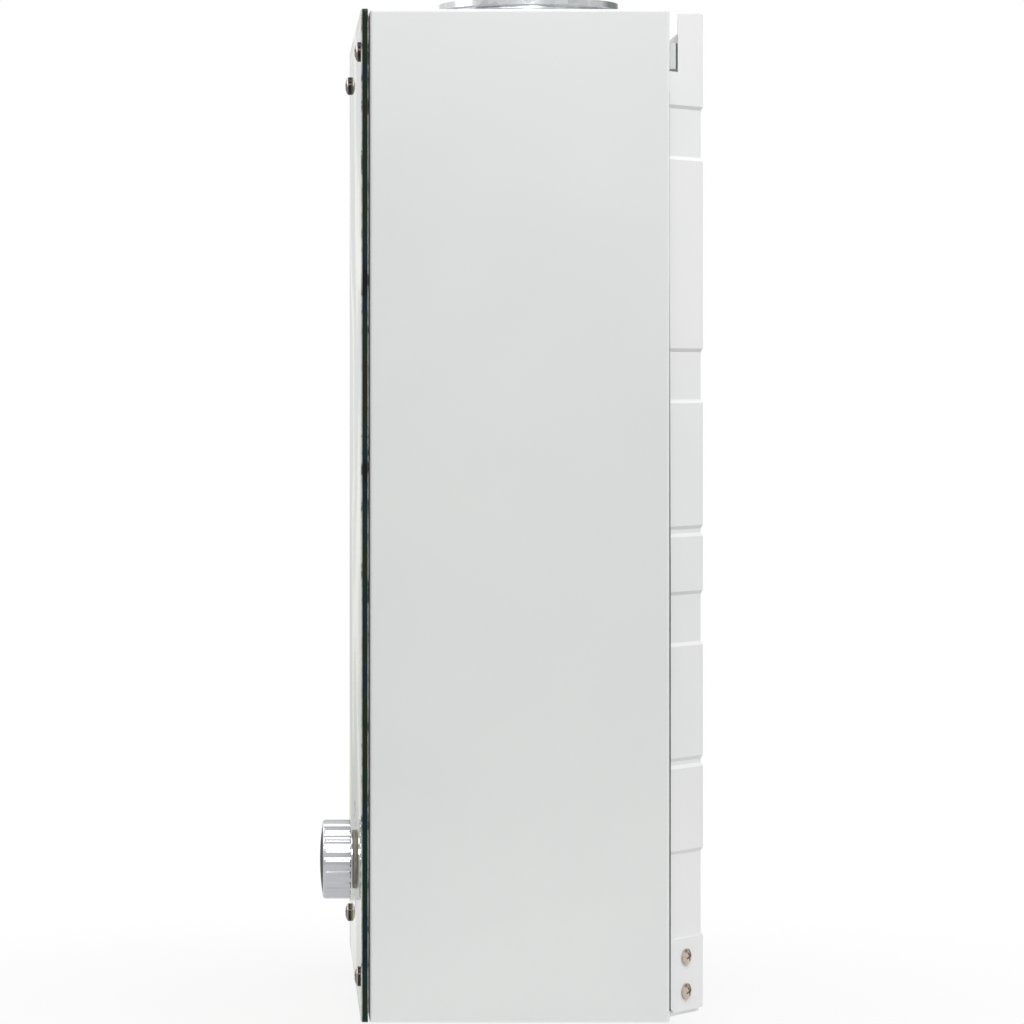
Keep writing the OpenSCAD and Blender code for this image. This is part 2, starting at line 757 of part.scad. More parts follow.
// Round bar with a flat on one side, grown by a clearance
module spindle_end(gap, l) {
    intersection() {
        cylinder(d = spindle_d + 2 * gap, h = l);
        translate([-spindle_d, -spindle_d, 0]) cube([2 * spindle_d, spindle_d * 1.3 + gap, l]);
    }
}

module spindle() color("silver") {
    inner_y = valve_front_y + spindle_depth - 2;
    translate([0, inner_y, knob_h]) facing_front() cylinder(d = spindle_d, h = inner_y - knob_back_y - 1);
    translate([0, knob_back_y + 1, knob_h]) facing_front() spindle_end(0, knob_l - cap_seat - 2.5);
}

// Collar: a narrow foot through the casing, and a wider rim with a pressed groove near its edge
module flue_collar() color("lightgray") translate([0, flue_y, hood_top]) {
    r = collar_d / 2;
    h = hood_drop + collar_rise;
    step = hood_drop + 0.5;
    draw = 0.8;
    groove = h - 4.5;
    outer = [[r - draw, flue_t], [r - draw, step - draw], [r, step], [r, groove - 1], [r - draw, groove],
        [r, groove + 1], [r, h]];
    inner = [for (k = [len(outer) - 1:-1:0]) [outer[k].x - flue_t, outer[k].y]];
    foot = r + collar_foot;
    rotate_extrude() polygon(concat([[foot, 0], [foot, flue_t]], outer, inner, [[r - draw - flue_t, 0]]));
}

// Draught hood: a skirt on the fin block, tapering to a flat top that carries the collar
module draught_hood() color("silver") translate([0, flue_y, 0]) difference() {
    skirt = 45;
    vent_h = 20;
    top_w = collar_d + 46;
    loft([rect_ring(chamber_w, chamber_d, hood_z), rect_ring(chamber_w, chamber_d, hood_z + skirt),
        rect_ring(top_w, chamber_d, hood_top)]);
    loft([rect_ring(chamber_w - 2 * flue_t, chamber_d - 2 * flue_t, hood_z - over),
        rect_ring(chamber_w - 2 * flue_t, chamber_d - 2 * flue_t, hood_z + skirt),
        rect_ring(top_w - 2 * flue_t, chamber_d - 2 * flue_t, hood_top - flue_t)]);
    translate([0, 0, hood_top]) drill(collar_d - 2 * collar_gap, sheet_drill);
    span([-chamber_w / 3, chamber_d / 2 - vent_h / 4, hood_z + vent_h / 2],
        [chamber_w / 3, chamber_d / 2 + over, hood_z + vent_h * 3 / 2]);
}

// Open sheet box, centred on the flue's axis
module sheet_box(z, h) translate([0, flue_y, z]) linear_extrude(h) difference() {
    rounded_rect(chamber_w, chamber_d, chamber_r);
    rounded_rect(chamber_w - 2 * copper_t, chamber_d - 2 * copper_t, chamber_r - copper_t);
}

module tube_holes(gap) for (y = tube_row)
    translate([0, y, tube_z]) along_x() drill(tube_d + 2 * gap, 2 * chamber_w);

module exchanger_case() color("chocolate") difference() {
    sheet_box(fin_z, fin_h);
    tube_holes(fit);
}

module exchanger_fins() color("chocolate") {
    side_gap = 0.3;
    pairs = floor((chamber_w / 2 - 4) / fin_pitch);
    for (k = [-pairs:pairs])
        translate([k * fin_pitch, flue_y, fin_z]) rotate([0, -90, 0]) linear_extrude(fin_t, center = true)
            difference() {
                translate([0, -chamber_d / 2 + copper_t + side_gap])
                    square([fin_h, chamber_d - 2 * copper_t - 2 * side_gap]);
                for (y = tube_row) translate([fin_h / 2, y - flue_y]) circle(d = tube_d + 2 * fit);
            }
}

// Serpentine of tube through the fins
module exchanger_tubes() color("chocolate") {
    x = tube_end_x;
    u = x + tube_pitch / 2;
    turns = [for (k = [0:2]) let (end = k % 2 == 0 ? u : -u)
        each [[end, tube_row[k], tube_z], [end, tube_row[k + 1], tube_z]]];
    tube_run(concat([[-x, tube_row[0], tube_z]], turns, [[-x, tube_row[3], tube_z]]), tube_pitch / 2);
}

module fire_chamber() color("chocolate") difference() {
    sheet_box(chamber_z, chamber_h);
    for (x = electrode_x)
        translate([x, flue_y - chamber_d / 2, electrode_z])
            facing_front() drill(ceramic_d + 2 * fit, sheet_drill);
}

// Two turns of tube round the chamber, then up to the first tube of the fin block
module chamber_coil() color("chocolate") {
    w = coil_half_w;
    rear = flue_y + coil_half_d;
    front = flue_y - coil_half_d;
    z2 = coil_z + coil_pitch;
    riser = tube_end_x + tube_bend;
    tube_run([[w, flue_y, coil_start_z], [w, flue_y, coil_z], [w, rear, coil_z], [-w, rear, coil_z],
        [-w, front, coil_z], [w, front, coil_z], [w, front, z2], [w, rear, z2], [-riser, rear, z2],
        [-riser, tube_row[0], z2], [-riser, tube_row[0], tube_z],
        [-tube_end_x, tube_row[0], tube_z]], tube_bend);
}

// Z-shaped brackets that hold the fire chamber off the back plate, between the turns of the coil
module chamber_brackets() color("silver") {
    rear = -back_t - fit - chamber_bracket_t / 2;
    face = flue_y + chamber_d / 2 + fit + chamber_bracket_t / 2;
    leg = (coil_pitch - tube_d) / 2 - 3;
    for (x = [-1, 1])
        translate([x * chamber_w / 4, 0, coil_z + coil_pitch / 2]) rotate([90, 0, 90])
            linear_extrude(chamber_bracket_w, center = true)
                strip([[rear, leg], [rear, 0], [face, 0], [face, -leg]], chamber_bracket_t);
}

function blade_x(k) = (k - (blade_count - 1) / 2) * blade_pitch;

// Burner blades: flat bodies with a throat in front and slots along the top
module burner_blades() color("lightsteelblue") {
    front = flue_y - chamber_d / 2 + 8;
    rear = flue_y + chamber_d / 2 - 8;
    shelf = front + 6;
    shoulder = blade_z + blade_h / 2;
    ports = 14;
    port_pitch = (rear - shelf) / (ports + 1);
    for (k = [0:blade_count - 1])
        translate([blade_x(k), 0, 0]) rotate([90, 0, 90])
            linear_extrude(blade_t, center = true) difference() {
                polygon([[front, blade_z], [rear - 24, blade_z], [rear, shoulder], [rear, blade_top],
                    [shelf, blade_top], [shelf, shoulder], [front, blade_z + blade_h / 3]]);
                for (i = [1:ports])
                    translate([shelf + i * port_pitch, blade_top - 2]) square([2, 5], center = true);
            }
}

module burner_frame() color("silver") {
    half = chamber_w / 2 - frame_t;
    for (y = [flue_y - 30, flue_y + 20])
        span([-half, y - 5, blade_z - 3], [half, y + 5, blade_z]);
    for (s = [-1, 1])
        translate([s * (half + frame_t / 2), flue_y, 0])
            span([-frame_t / 2, -chamber_d / 2, blade_z - 3], [frame_t / 2, chamber_d / 2, chamber_z]);
}

module gas_manifold() color("darkgray")
    translate([0, manifold_y, manifold_z]) rotate([90, 0, 90])
        linear_extrude(chamber_w - 2 * frame_t, center = true)
            rounded_rect(manifold_s, manifold_s, manifold_r);

module gas_jets() color("goldenrod")
    for (k = [0:blade_count - 1])
        translate([blade_x(k), manifold_y + manifold_s / 2, manifold_z]) rotate([-90, 0, 0]) {
            cylinder(d = jet_af / cos(30), h = jet_hex_h, $fn = 6);
            translate([0, 0, jet_hex_h]) cylinder(d1 = jet_af * 0.75, d2 = jet_af / 2, h = jet_tip_h);
        }

module gas_riser() color("darkgray")
    tube_run([[gas_x, flue_y, valve_top], [gas_x, flue_y, gas_turn_z], [gas_x, manifold_y, gas_turn_z],
        [gas_x, manifold_y, manifold_z - manifold_s / 2]], 14);

// Gas valve: a cast block with the regulator's boss on its front
module gas_valve() color("darkgray") difference() {
    union() {
        translate([gas_x, flue_y, valve_z]) soft_block(valve_w, valve_d, valve_h, cast_r);
        translate([0, valve_front_y + cast_r, knob_h])
            facing_front() cylinder(d = boss_d, h = boss_l + cast_r);
    }
    translate([0, valve_front_y + spindle_depth, knob_h]) facing_front()
        cylinder(d = spindle_d + 2 * running, h = spindle_depth + boss_l + over);
}

module gas_solenoid() color("dimgray")
    translate([gas_x - valve_w / 2, flue_y, knob_h]) rotate([0, -90, 0]) {
        cylinder(d = solenoid_d, h = solenoid_l);
        translate([0, 0, solenoid_l]) cylinder(d = core_d, h = core_l);
    }

module gland_nut() color("goldenrod") translate([0, gland_y, knob_h]) facing_front()
    hex_ring(gland_af, gland_l, spindle_d + 2 * running);

// Threaded stub through the bottom plate, with a hexagon above it and a neck up to a given height
module pipe_fitting(top) difference() {
    union() {
        translate([0, 0, -stub_drop]) cylinder(d = thread_d, h = stub_drop + plate_z - locknut_h);
        translate([0, 0, plate_z - locknut_h]) cylinder(d = neck_pipe_d, h = top - plate_z + locknut_h);
        translate([0, 0, plate_top]) cylinder(d = hex_af / cos(30), h = hex_h, $fn = 6);
    }
    translate([0, 0, -stub_drop - over]) cylinder(d = pipe_bore_d, h = stub_drop + plate_top + hex_h);
}

module gas_inlet() color("goldenrod") translate([gas_x, flue_y, 0]) pipe_fitting(valve_z);

module cold_inlet() color("goldenrod") translate([cold_x, flue_y, 0]) pipe_fitting(knob_h - water_h / 2);

module hot_outlet() color("goldenrod") translate([hot_x, hot_y, 0]) pipe_fitting(hot_neck_z);

module pipe_locknuts() color("goldenrod")
    for (p = [[gas_x, flue_y], [cold_x, flue_y], [hot_x, hot_y]])
        translate([p.x, p.y, plate_z - locknut_h]) hex_ring(hex_af, locknut_h, neck_pipe_d + 2 * fit);

// Water valve: a block with one half of the diaphragm housing
module water_valve() color("goldenrod") {
    translate([cold_x, flue_y, knob_h - water_h / 2]) soft_block(water_w, water_d, water_h, cast_r);
    translate([disc_x + disc_t, flue_y, knob_h]) along_x() cylinder(d = disc_d, h = disc_t);
}

module diaphragm_cover() color("goldenrod") difference() {
    union() {
        translate([disc_x, flue_y, knob_h]) along_x() cylinder(d = disc_d, h = disc_t);
        translate([gas_side_x, flue_y, knob_h]) along_x() cylinder(d = cover_boss_d, h = cover_boss_l);
    }
    at_diaphragm_screws() drill(cover_shank_d + 2 * fit, deep_drill);
}

module at_diaphragm_screws() for (k = [0:5])
    translate([disc_x, flue_y, knob_h]) rotate([k * 60, 0, 0])
        translate([0, diaphragm_pcd / 2, 0]) rotate([0, -90, 0]) children();

module diaphragm_screws() color("silver")
    at_diaphragm_screws() pan_screw(cover_head_d, cover_head_h, cover_shank_d, disc_t - 2 * fit);

// Switch on the front of the water valve, with three terminals
module microswitch() color("dimgray") translate([cold_x, flue_y - water_d / 2, knob_h]) facing_front() {
    linear_extrude(switch_d) square([switch_w, switch_h], center = true);
    for (k = [-1:1])
        translate([k * switch_w / 3, 0, switch_d + 2]) cube([0.8, 5, 6], center = true);
}

module cold_riser() color("chocolate")
    tube_run([[cold_x, flue_y, knob_h + water_h / 2], [cold_x, flue_y, riser_turn_z],
        [coil_half_w, flue_y, riser_turn_z], [coil_half_w, flue_y, coil_start_z]], tube_bend);

// Hot pipe, from the last tube of the fin block down to the outlet
module hot_pipe() color("chocolate")
    tube_run([[-tube_end_x, hot_y, tube_z], [-hot_run_x, hot_y, tube_z], [-hot_run_x, hot_y, hot_jog_z],
        [hot_x, hot_y, hot_jog_z], [hot_x, hot_y, hot_neck_z]], tube_bend);

module union_nuts() color("goldenrod") {
    translate([cold_x, flue_y, knob_h + water_h / 2]) hex_ring(union_af, union_h, tube_d + 2 * fit);
    translate([hot_x, hot_y, hot_neck_z]) hex_ring(union_af, union_h, tube_d + 2 * fit);
}

// Electrode: a ceramic rod through the front wall of the chamber, with a shoulder that seats on the
// electrode plate and a wire out of its end
module electrode(x, wire_l) translate([x, flue_y - chamber_d / 2, electrode_z]) rotate([-90, 0, 0])
    rotate_extrude() polygon([[0, -ceramic_out], [ceramic_d / 2, -ceramic_out],
        [ceramic_d / 2, -electrode_plate_t - shoulder_h], [shoulder_d / 2, -electrode_plate_t - shoulder_h],
        [shoulder_d / 2, -electrode_plate_t], [ceramic_d / 2, -electrode_plate_t],
        [ceramic_d / 2, ceramic_in], [wire_d / 2, ceramic_in], [wire_d / 2, ceramic_in + wire_l],
        [0, ceramic_in + wire_l]]);
module ignition_electrode() color("white") electrode(electrode_x[0], spark_wire_l);
module flame_sensor() color("white") electrode(electrode_x[1], sensor_wire_l);

module electrode_plate() color("silver") translate([0, flue_y - chamber_d / 2, electrode_z]) facing_front()
    linear_extrude(electrode_plate_t) difference() {
        rounded_rect(52, 16, 3);
        for (x = electrode_x) translate([x, 0]) circle(d = ceramic_d + 2 * fit);
    }

// Thermostat: a disc with two terminals, standing on z = 0
module disc_thermostat() {
    cylinder(d = 16, h = 6);
    for (x = [-4, 4]) translate([x - 1.5, -0.4, 6]) cube([3, 0.8, 7]);
}
module limit_thermostat() color("dimgray")
    translate([chamber_w / 2, flue_y, coil_z + coil_pitch / 2]) rotate([0, 90, 0]) disc_thermostat();
module flue_thermostat() color("dimgray")
    translate([chamber_w / 3, flue_y - chamber_d / 2, hood_z + 22]) facing_front() disc_thermostat();

// Ignition control, screwed to the inside of the back plate
module control_box() color("dimgray") {
    low = [-wall_half + 8, -back_t - fit - control_d, foot_band_h + groove_rise + groove_h / 2 + 3];
    h = band_at(2) - band_h / 2 - 3 - low.z;
    span(low, low + [control_w, control_d, h]);
    for (k = [0:3])
        translate(low + [(k + 0.5) * control_w / 4, control_d / 2, -plug_h / 2])
            cube([control_w / 4 - 2, control_d / 2, plug_h], center = true);
}

// Battery box with two wells, open below, hung from the bottom plate by its flange
module battery_box() color("dimgray") translate([battery_x, battery_y, 0]) difference() {
    union() {
        translate([0, 0, box_z]) linear_extrude(box_top - box_z) rounded_rect(box_w, box_d, 2);
        span([-box_w / 2, -box_d / 2 - box_rim, plate_top],
            [box_w / 2 + box_rim, box_d / 2 + box_rim, plate_top + box_rim_t]);
        for (s = [-1, 1])
            translate([0, s * (ear_gap + ear_t) / 2, 0]) {
                span([hinge_x - battery_x - hinge_r, -ear_t / 2, hinge_z - hinge_r],
                    [-box_w / 2, ear_t / 2, plate_top + 1]);
                span([-box_w / 2 - 1, -ear_t / 2, box_z], [-box_w / 2 + 1, ear_t / 2, plate_top + 1]);
            }
    }
    for (x = [-0.5, 0.5])
        translate([x * well_pitch, 0, box_z - over]) cylinder(d = well_d, h = well_h + over);
    translate([hinge_x - battery_x, 0, hinge_z]) facing_front() drill(pin_d + 2 * fit, deep_drill);
}

module battery_cells() color("darkgoldenrod")
    for (x = [-0.5, 0.5])
        translate([battery_x + x * well_pitch, battery_y, lid_top + 1]) {
            cylinder(d = cell_d, h = cell_l);
            translate([0, 0, cell_l]) cylinder(d = 10, h = 1.5);
        }

// Battery lid: a plate with one long knuckle on its hinge edge
module battery_lid() color("dimgray") translate([0, battery_y, 0]) difference() {
    union() {
        span([box_left + 1 + moving_gap, -box_d / 2 + 1, lid_z],
            [box_left + box_w, box_d / 2 - 1, lid_top]);
        span([hinge_x, -ear_gap / 2 + moving_gap, lid_z],
            [box_left + 3, ear_gap / 2 - moving_gap, lid_top]);
        translate([hinge_x, 0, hinge_z]) facing_front() drill(2 * hinge_r, ear_gap - 2 * moving_gap);
    }
    translate([hinge_x, 0, hinge_z]) facing_front() drill(pin_d + 2 * running, deep_drill);
}

module lid_contacts() color("silver")
    for (x = [-0.5, 0.5])
        translate([battery_x + x * well_pitch, battery_y, lid_top]) cylinder(d = 12, h = 0.7);

module lid_pin() color("silver")
    translate([hinge_x, battery_y, hinge_z]) facing_front() drill(pin_d, ear_gap + 2 * ear_t);

place() back_plate();
place() top_hooks();
place() lower_bracket();
place() bracket_screws();
place() bottom_plate();
place() floor_rim();
place() casing();
place() casing_screws();
place() glass_panel();
place() glass_spacers();
place() glass_screws();
place() glass_nuts();
place() knob_bush();
place() knob();
place() knob_cap();
place() spindle();
place() flue_collar();
place() draught_hood();
place() exchanger_case();
place() exchanger_fins();
place() exchanger_tubes();
place() fire_chamber();
place() chamber_coil();
place() chamber_brackets();
place() burner_blades();
place() burner_frame();
place() gas_manifold();
place() gas_jets();
place() gas_riser();
place() gas_valve();
place() gas_solenoid();
place() gland_nut();
place() gas_inlet();
place() water_valve();
place() diaphragm_cover();
place() diaphragm_screws();
place() microswitch();
place() cold_inlet();
place() cold_riser();
place() hot_pipe();
place() hot_outlet();
place() pipe_locknuts();
place() union_nuts();
place() ignition_electrode();
place() flame_sensor();
place() electrode_plate();
place() limit_thermostat();
place() flue_thermostat();
place() control_box();
place() battery_box();
place() battery_cells();
place() battery_lid();
place() lid_contacts();
place() lid_pin();
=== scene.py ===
# %% [markdown]
# # A wall-hung gas water heater
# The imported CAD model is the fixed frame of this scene: a white steel case with a glass front, a fluted
# knob, a flue collar, a pressed back plate and the gas and water parts inside. This script gives every
# solid its finish and adds the small things that a solid modeller leaves out. Lengths are in metres, the
# wall is the plane y = 0, the front faces -Y and +Z is up.

# %% Load the frame
import math

import bmesh
import bpy
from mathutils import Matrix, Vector


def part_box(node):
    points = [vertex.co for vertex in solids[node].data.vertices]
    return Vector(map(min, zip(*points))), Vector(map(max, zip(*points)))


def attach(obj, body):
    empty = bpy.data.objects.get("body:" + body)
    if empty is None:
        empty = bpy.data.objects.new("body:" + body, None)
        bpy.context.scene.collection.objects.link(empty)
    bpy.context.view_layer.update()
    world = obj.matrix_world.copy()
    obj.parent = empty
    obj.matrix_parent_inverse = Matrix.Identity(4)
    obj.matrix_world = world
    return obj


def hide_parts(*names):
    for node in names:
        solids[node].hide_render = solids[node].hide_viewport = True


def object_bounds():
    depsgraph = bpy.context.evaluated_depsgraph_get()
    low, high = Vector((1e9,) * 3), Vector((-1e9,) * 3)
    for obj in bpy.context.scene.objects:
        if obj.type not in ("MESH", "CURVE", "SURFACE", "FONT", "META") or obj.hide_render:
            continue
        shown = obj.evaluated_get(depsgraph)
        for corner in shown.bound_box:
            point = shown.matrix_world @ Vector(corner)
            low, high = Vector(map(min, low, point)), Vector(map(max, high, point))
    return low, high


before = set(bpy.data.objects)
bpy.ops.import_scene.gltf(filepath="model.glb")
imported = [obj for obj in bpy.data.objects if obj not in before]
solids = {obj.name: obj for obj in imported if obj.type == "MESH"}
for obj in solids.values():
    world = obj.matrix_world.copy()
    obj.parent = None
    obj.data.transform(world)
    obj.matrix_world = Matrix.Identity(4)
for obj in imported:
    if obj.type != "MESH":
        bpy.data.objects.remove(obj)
cad_low, cad_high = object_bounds()
MM = 0.001
print("solids:", len(solids), "box:", [round(v, 4) for v in (*cad_low, *cad_high)])

# %% [markdown]
# ## Camera
# The photograph looks straight at the side of the heater, from a little in front of its glass. Its edges
# meet at a vanishing point up and to the left of the middle, so the picture is an off-centre crop. The
# camera therefore stays level and square to the side, and its shift puts the vanishing point where the
# photograph has it. A long lens at about two and a half metres gives the slight taper of the glass.

# %% Camera
FRAME_PX = 1024
FOCAL_PX = 4304
VANISH_PX = (269, 373)
SENSOR_MM = 36
# from the upper rear corner of the case's near side, in metres
CAMERA_STAND = Vector((2.336, -0.2175, -0.1976))
case_low, case_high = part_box("casing")


def put(name, data):
    thing = bpy.data.objects.new(name, data)
    bpy.context.scene.collection.objects.link(thing)
    return thing


view = bpy.data.cameras.new("side_camera")
view.sensor_width = SENSOR_MM
view.lens = SENSOR_MM * FOCAL_PX / FRAME_PX
view.shift_x = 0.5 - VANISH_PX[0] / FRAME_PX
view.shift_y = VANISH_PX[1] / FRAME_PX - 0.5
camera = put("side_camera", view)
camera.location = case_high + CAMERA_STAND
camera.rotation_euler = (math.pi / 2, 0, math.pi / 2)
bpy.context.scene.camera = camera
print("lens:", round(view.lens, 1), "mm, shift:", round(view.shift_x, 3), round(view.shift_y, 3))

# %% [markdown]
# ## Small helpers
# A colour is written as the hex value that a paint chart would give and is turned to the linear value
# that the shader works in. One function adds a node, sets it up and links it, so that a finish reads as
# a short list of what happens to the light. Every finish starts from one shader and the piece's own
# coordinates, and most of them end with a colour, a roughness and a relief.

# %% Helpers for nodes
def linear(code):
    channels = [int(code[i:i + 2], 16) / 255 for i in (1, 3, 5)]
    return (*[c / 12.92 if c <= 0.04045 else ((c + 0.055) / 1.055) ** 2.4 for c in channels], 1)


def add(tree, kind, inputs=None, **settings):
    node = tree.nodes.new(kind)
    for name, value in settings.items():
        setattr(node, name, value)
    for socket, value in (inputs or {}).items():
        if isinstance(value, bpy.types.NodeSocket):
            tree.links.new(value, node.inputs[socket])
        else:
            node.inputs[socket].default_value = value
    return node


def bare_tree(owner):
    owner.use_nodes = True
    owner.node_tree.nodes.clear()
    return owner.node_tree


def set_ramp(node, stops):
    ramp = node.color_ramp
    while len(ramp.elements) > 1:
        ramp.elements.remove(ramp.elements[-1])
    ramp.elements[0].position = stops[0][0]
    ramp.elements[0].color = linear(stops[0][1])
    for position, code in stops[1:]:
        ramp.elements.new(position).color = linear(code)


# %% Helpers for finishes
WHITE = linear("#FFFFFF")


def start_finish(name):
    finish = bpy.data.materials.new(name)
    tree = bare_tree(finish)
    shader = add(tree, "ShaderNodeBsdfPrincipled")
    add(tree, "ShaderNodeOutputMaterial", {"Surface": shader.outputs[0]})
    place = add(tree, "ShaderNodeTexCoord").outputs["Object"]
    return finish, tree, shader, place


def end_finish(tree, shader, colour, roughness, normal):
    tree.links.new(colour, shader.inputs["Base Color"])
    tree.links.new(roughness, shader.inputs["Roughness"])
    tree.links.new(normal, shader.inputs["Normal"])


def wear(finish, *names):
    for name in names:
        solids[name].data.materials.clear()
        solids[name].data.materials.append(finish)


# %% [markdown]
# ## Floor
# The photograph is a cut-out on white. A pale round floor passes under the ends of the pipe stubs. The
# camera and the shiny pieces see it almost white: near the heater it keeps a part of the shadow, and
# towards its rim it fades into the background. It is clear from below, so that the heater's underside
# can be looked at.

# %% Pale floor
FLOOR_R = 0.5
FLOOR_SIDES = 96
FLOOR_MID = Vector((0, -0.1, cad_low.z))
FADE_FROM = 0.15
FADE_TO = 0.45
# how much of the floor near the heater is plain white, to the camera and in reflections
SEEN_WHITE = 0.86
MIRRORED_WHITE = 0.8


def sight(tree):
    rays = add(tree, "ShaderNodeLightPath")
    shiny = add(tree, "ShaderNodeMath", {0: rays.outputs["Is Glossy Ray"],
                                         1: rays.outputs["Is Transmission Ray"]}, operation="MAXIMUM")
    return rays.outputs["Is Camera Ray"], shiny.outputs[0]


floor_mesh = bpy.data.meshes.new("floor")
turns = [2 * math.pi * k / FLOOR_SIDES for k in range(FLOOR_SIDES)]
rim = [FLOOR_MID + FLOOR_R * Vector((math.cos(turn), math.sin(turn), 0)) for turn in turns]
floor_mesh.from_pydata(rim, [], [tuple(range(FLOOR_SIDES))])
floor = put("floor", floor_mesh)

floor_paint = bpy.data.materials.new("pale_floor")
tree = bare_tree(floor_paint)
camera_ray, shiny = sight(tree)
seen = add(tree, "ShaderNodeMath", {0: camera_ray, 1: shiny}, operation="MAXIMUM")
place = add(tree, "ShaderNodeTexCoord").outputs["Object"]
away = add(tree, "ShaderNodeVectorMath", {0: place, 1: FLOOR_MID}, operation="DISTANCE")
near = add(tree, "ShaderNodeMapRange", {"Value": shiny, "To Min": SEEN_WHITE, "To Max": MIRRORED_WHITE})
fade = add(tree, "ShaderNodeMapRange", {"Value": away.outputs["Value"], "From Min": FADE_FROM,
                                        "From Max": FADE_TO, "To Min": near.outputs[0], "To Max": 1.0})
share = add(tree, "ShaderNodeMath", {0: seen.outputs[0], 1: fade.outputs[0]}, operation="MULTIPLY")
matt = add(tree, "ShaderNodeBsdfDiffuse", {"Color": linear("#DCDCDB")})
glow = add(tree, "ShaderNodeEmission", {"Color": WHITE, "Strength": 1.0})
mixed = add(tree, "ShaderNodeMixShader", {0: share.outputs[0], 1: matt.outputs[0], 2: glow.outputs[0]})
face = add(tree, "ShaderNodeNewGeometry")
clear = add(tree, "ShaderNodeBsdfTransparent")
one_sided = add(tree, "ShaderNodeMixShader", {0: face.outputs["Backfacing"], 1: mixed.outputs[0],
                                              2: clear.outputs[0]})
add(tree, "ShaderNodeOutputMaterial", {"Surface": one_sided.outputs[0]})
floor_mesh.materials.append(floor_paint)
print("floor:", 2 * FLOOR_R, "m across at z =", round(cad_low.z, 3))

# %% [markdown]
# ## Sky
# The world is an even fill light that the camera sees as pure white. Shiny surfaces see the same white,
# but a little greyer below the horizon, and dark in one corner behind the wall, above and to the left:
# without such a change of tone, polished metal looks like flat paint.

# %% Sky
FILL = 0.455
# the slopes between which shiny surfaces see the ground's tone turn white
HORIZON = (-0.2, -0.01)
GROUND_TONE = 0.55
# the slope to the rear plus the one upward or to the left, between which the corner turns dark
CORNER = (1.2, 1.38)
CORNER_TONE = 0.3

sky = bpy.data.worlds.new("studio")
bpy.context.scene.world = sky
tree = bare_tree(sky)
camera_ray, shiny = sight(tree)
fill = add(tree, "ShaderNodeBackground", {"Color": linear("#F8F8F7"), "Strength": FILL})
white = add(tree, "ShaderNodeBackground", {"Color": WHITE, "Strength": 1.0})
way = add(tree, "ShaderNodeTexCoord").outputs["Generated"]
towards = add(tree, "ShaderNodeSeparateXYZ", {0: way})
below = add(tree, "ShaderNodeMapRange", {"Value": towards.outputs["Z"], "From Min": HORIZON[0],
                                         "From Max": HORIZON[1], "To Min": GROUND_TONE, "To Max": 1.0})
leftward = add(tree, "ShaderNodeMath", {0: towards.outputs["X"], 1: -1.0}, operation="MULTIPLY")
aside = add(tree, "ShaderNodeMath", {0: towards.outputs["Z"], 1: leftward.outputs[0]}, operation="MAXIMUM")
rearward = add(tree, "ShaderNodeMath", {0: towards.outputs["Y"], 1: aside.outputs[0]}, operation="ADD")
behind = add(tree, "ShaderNodeMapRange", {"Value": rearward.outputs[0], "From Min": CORNER[0],
                                          "From Max": CORNER[1], "To Min": 1.0, "To Max": CORNER_TONE})
level = add(tree, "ShaderNodeMath", {0: below.outputs[0], 1: behind.outputs[0]}, operation="MULTIPLY")
room = add(tree, "ShaderNodeBackground", {"Color": WHITE, "Strength": level.outputs[0]})
mirrored = add(tree, "ShaderNodeMixShader", {0: shiny, 1: fill.outputs[0], 2: room.outputs[0]})
mixed = add(tree, "ShaderNodeMixShader", {0: camera_ray, 1: mirrored.outputs[0], 2: white.outputs[0]})
add(tree, "ShaderNodeOutputWorld", {"Surface": mixed.outputs[0]})
bpy.context.scene.view_settings.view_transform = "Standard"
print("fill light of the sky:", FILL)

# %% [markdown]
# ## Lamps
# Five broad soft lamps, discs of 0.7 to 1.4 m, give the case its slight fall of light from top to bottom
# and the knob its bright bands. All of them are turned to the middle of the case.

# %% Lamps
# watts, diameter and place of each, in metres
LAMPS = {"side_lamp": (8.0, 0.68, (1.5, -0.12, 0.6)),
         "front_lamp": (13, 1.4, (-0.2, -2.3, 0.7)),
         "rear_lamp": (19, 1.0, (0.6, 1.25, 1.2)),
         "top_lamp": (8.5, 1.2, (0.4, -0.3, 1.9)),
         "left_lamp": (5, 1.0, (-1.3, -1.4, 0.7))}
middle = (case_low + case_high) / 2
for name, (watts, width, spot) in LAMPS.items():
    light = bpy.data.lights.new(name, "AREA")
    light.energy = watts
    light.shape = "DISK"
    light.size = width
    lamp = put(name, light)
    lamp.location = spot
    lamp.rotation_euler = (middle - Vector(spot)).to_track_quat("-Z", "Y").to_euler()
print("lamps:", list(LAMPS))

# %% [markdown]
# ## White stove enamel
# The case and the back plate are mild steel sheet sprayed with epoxy-polyester powder and baked. Such a
# coat is smooth but never flat: it has a faint orange peel of one to two millimetres, a soft gloss, and
# slow changes of thickness. The peel is a fine noise on the bump and the slow change shifts colour and
# roughness by a hair. Enamel is a dielectric of IOR about 1.5.

# %% Enamel
PEEL = 1.6 * MM
PEEL_DEPTH = 0.2 * MM
COAT_DRIFT = 160 * MM
RESIN_IOR = 1.5


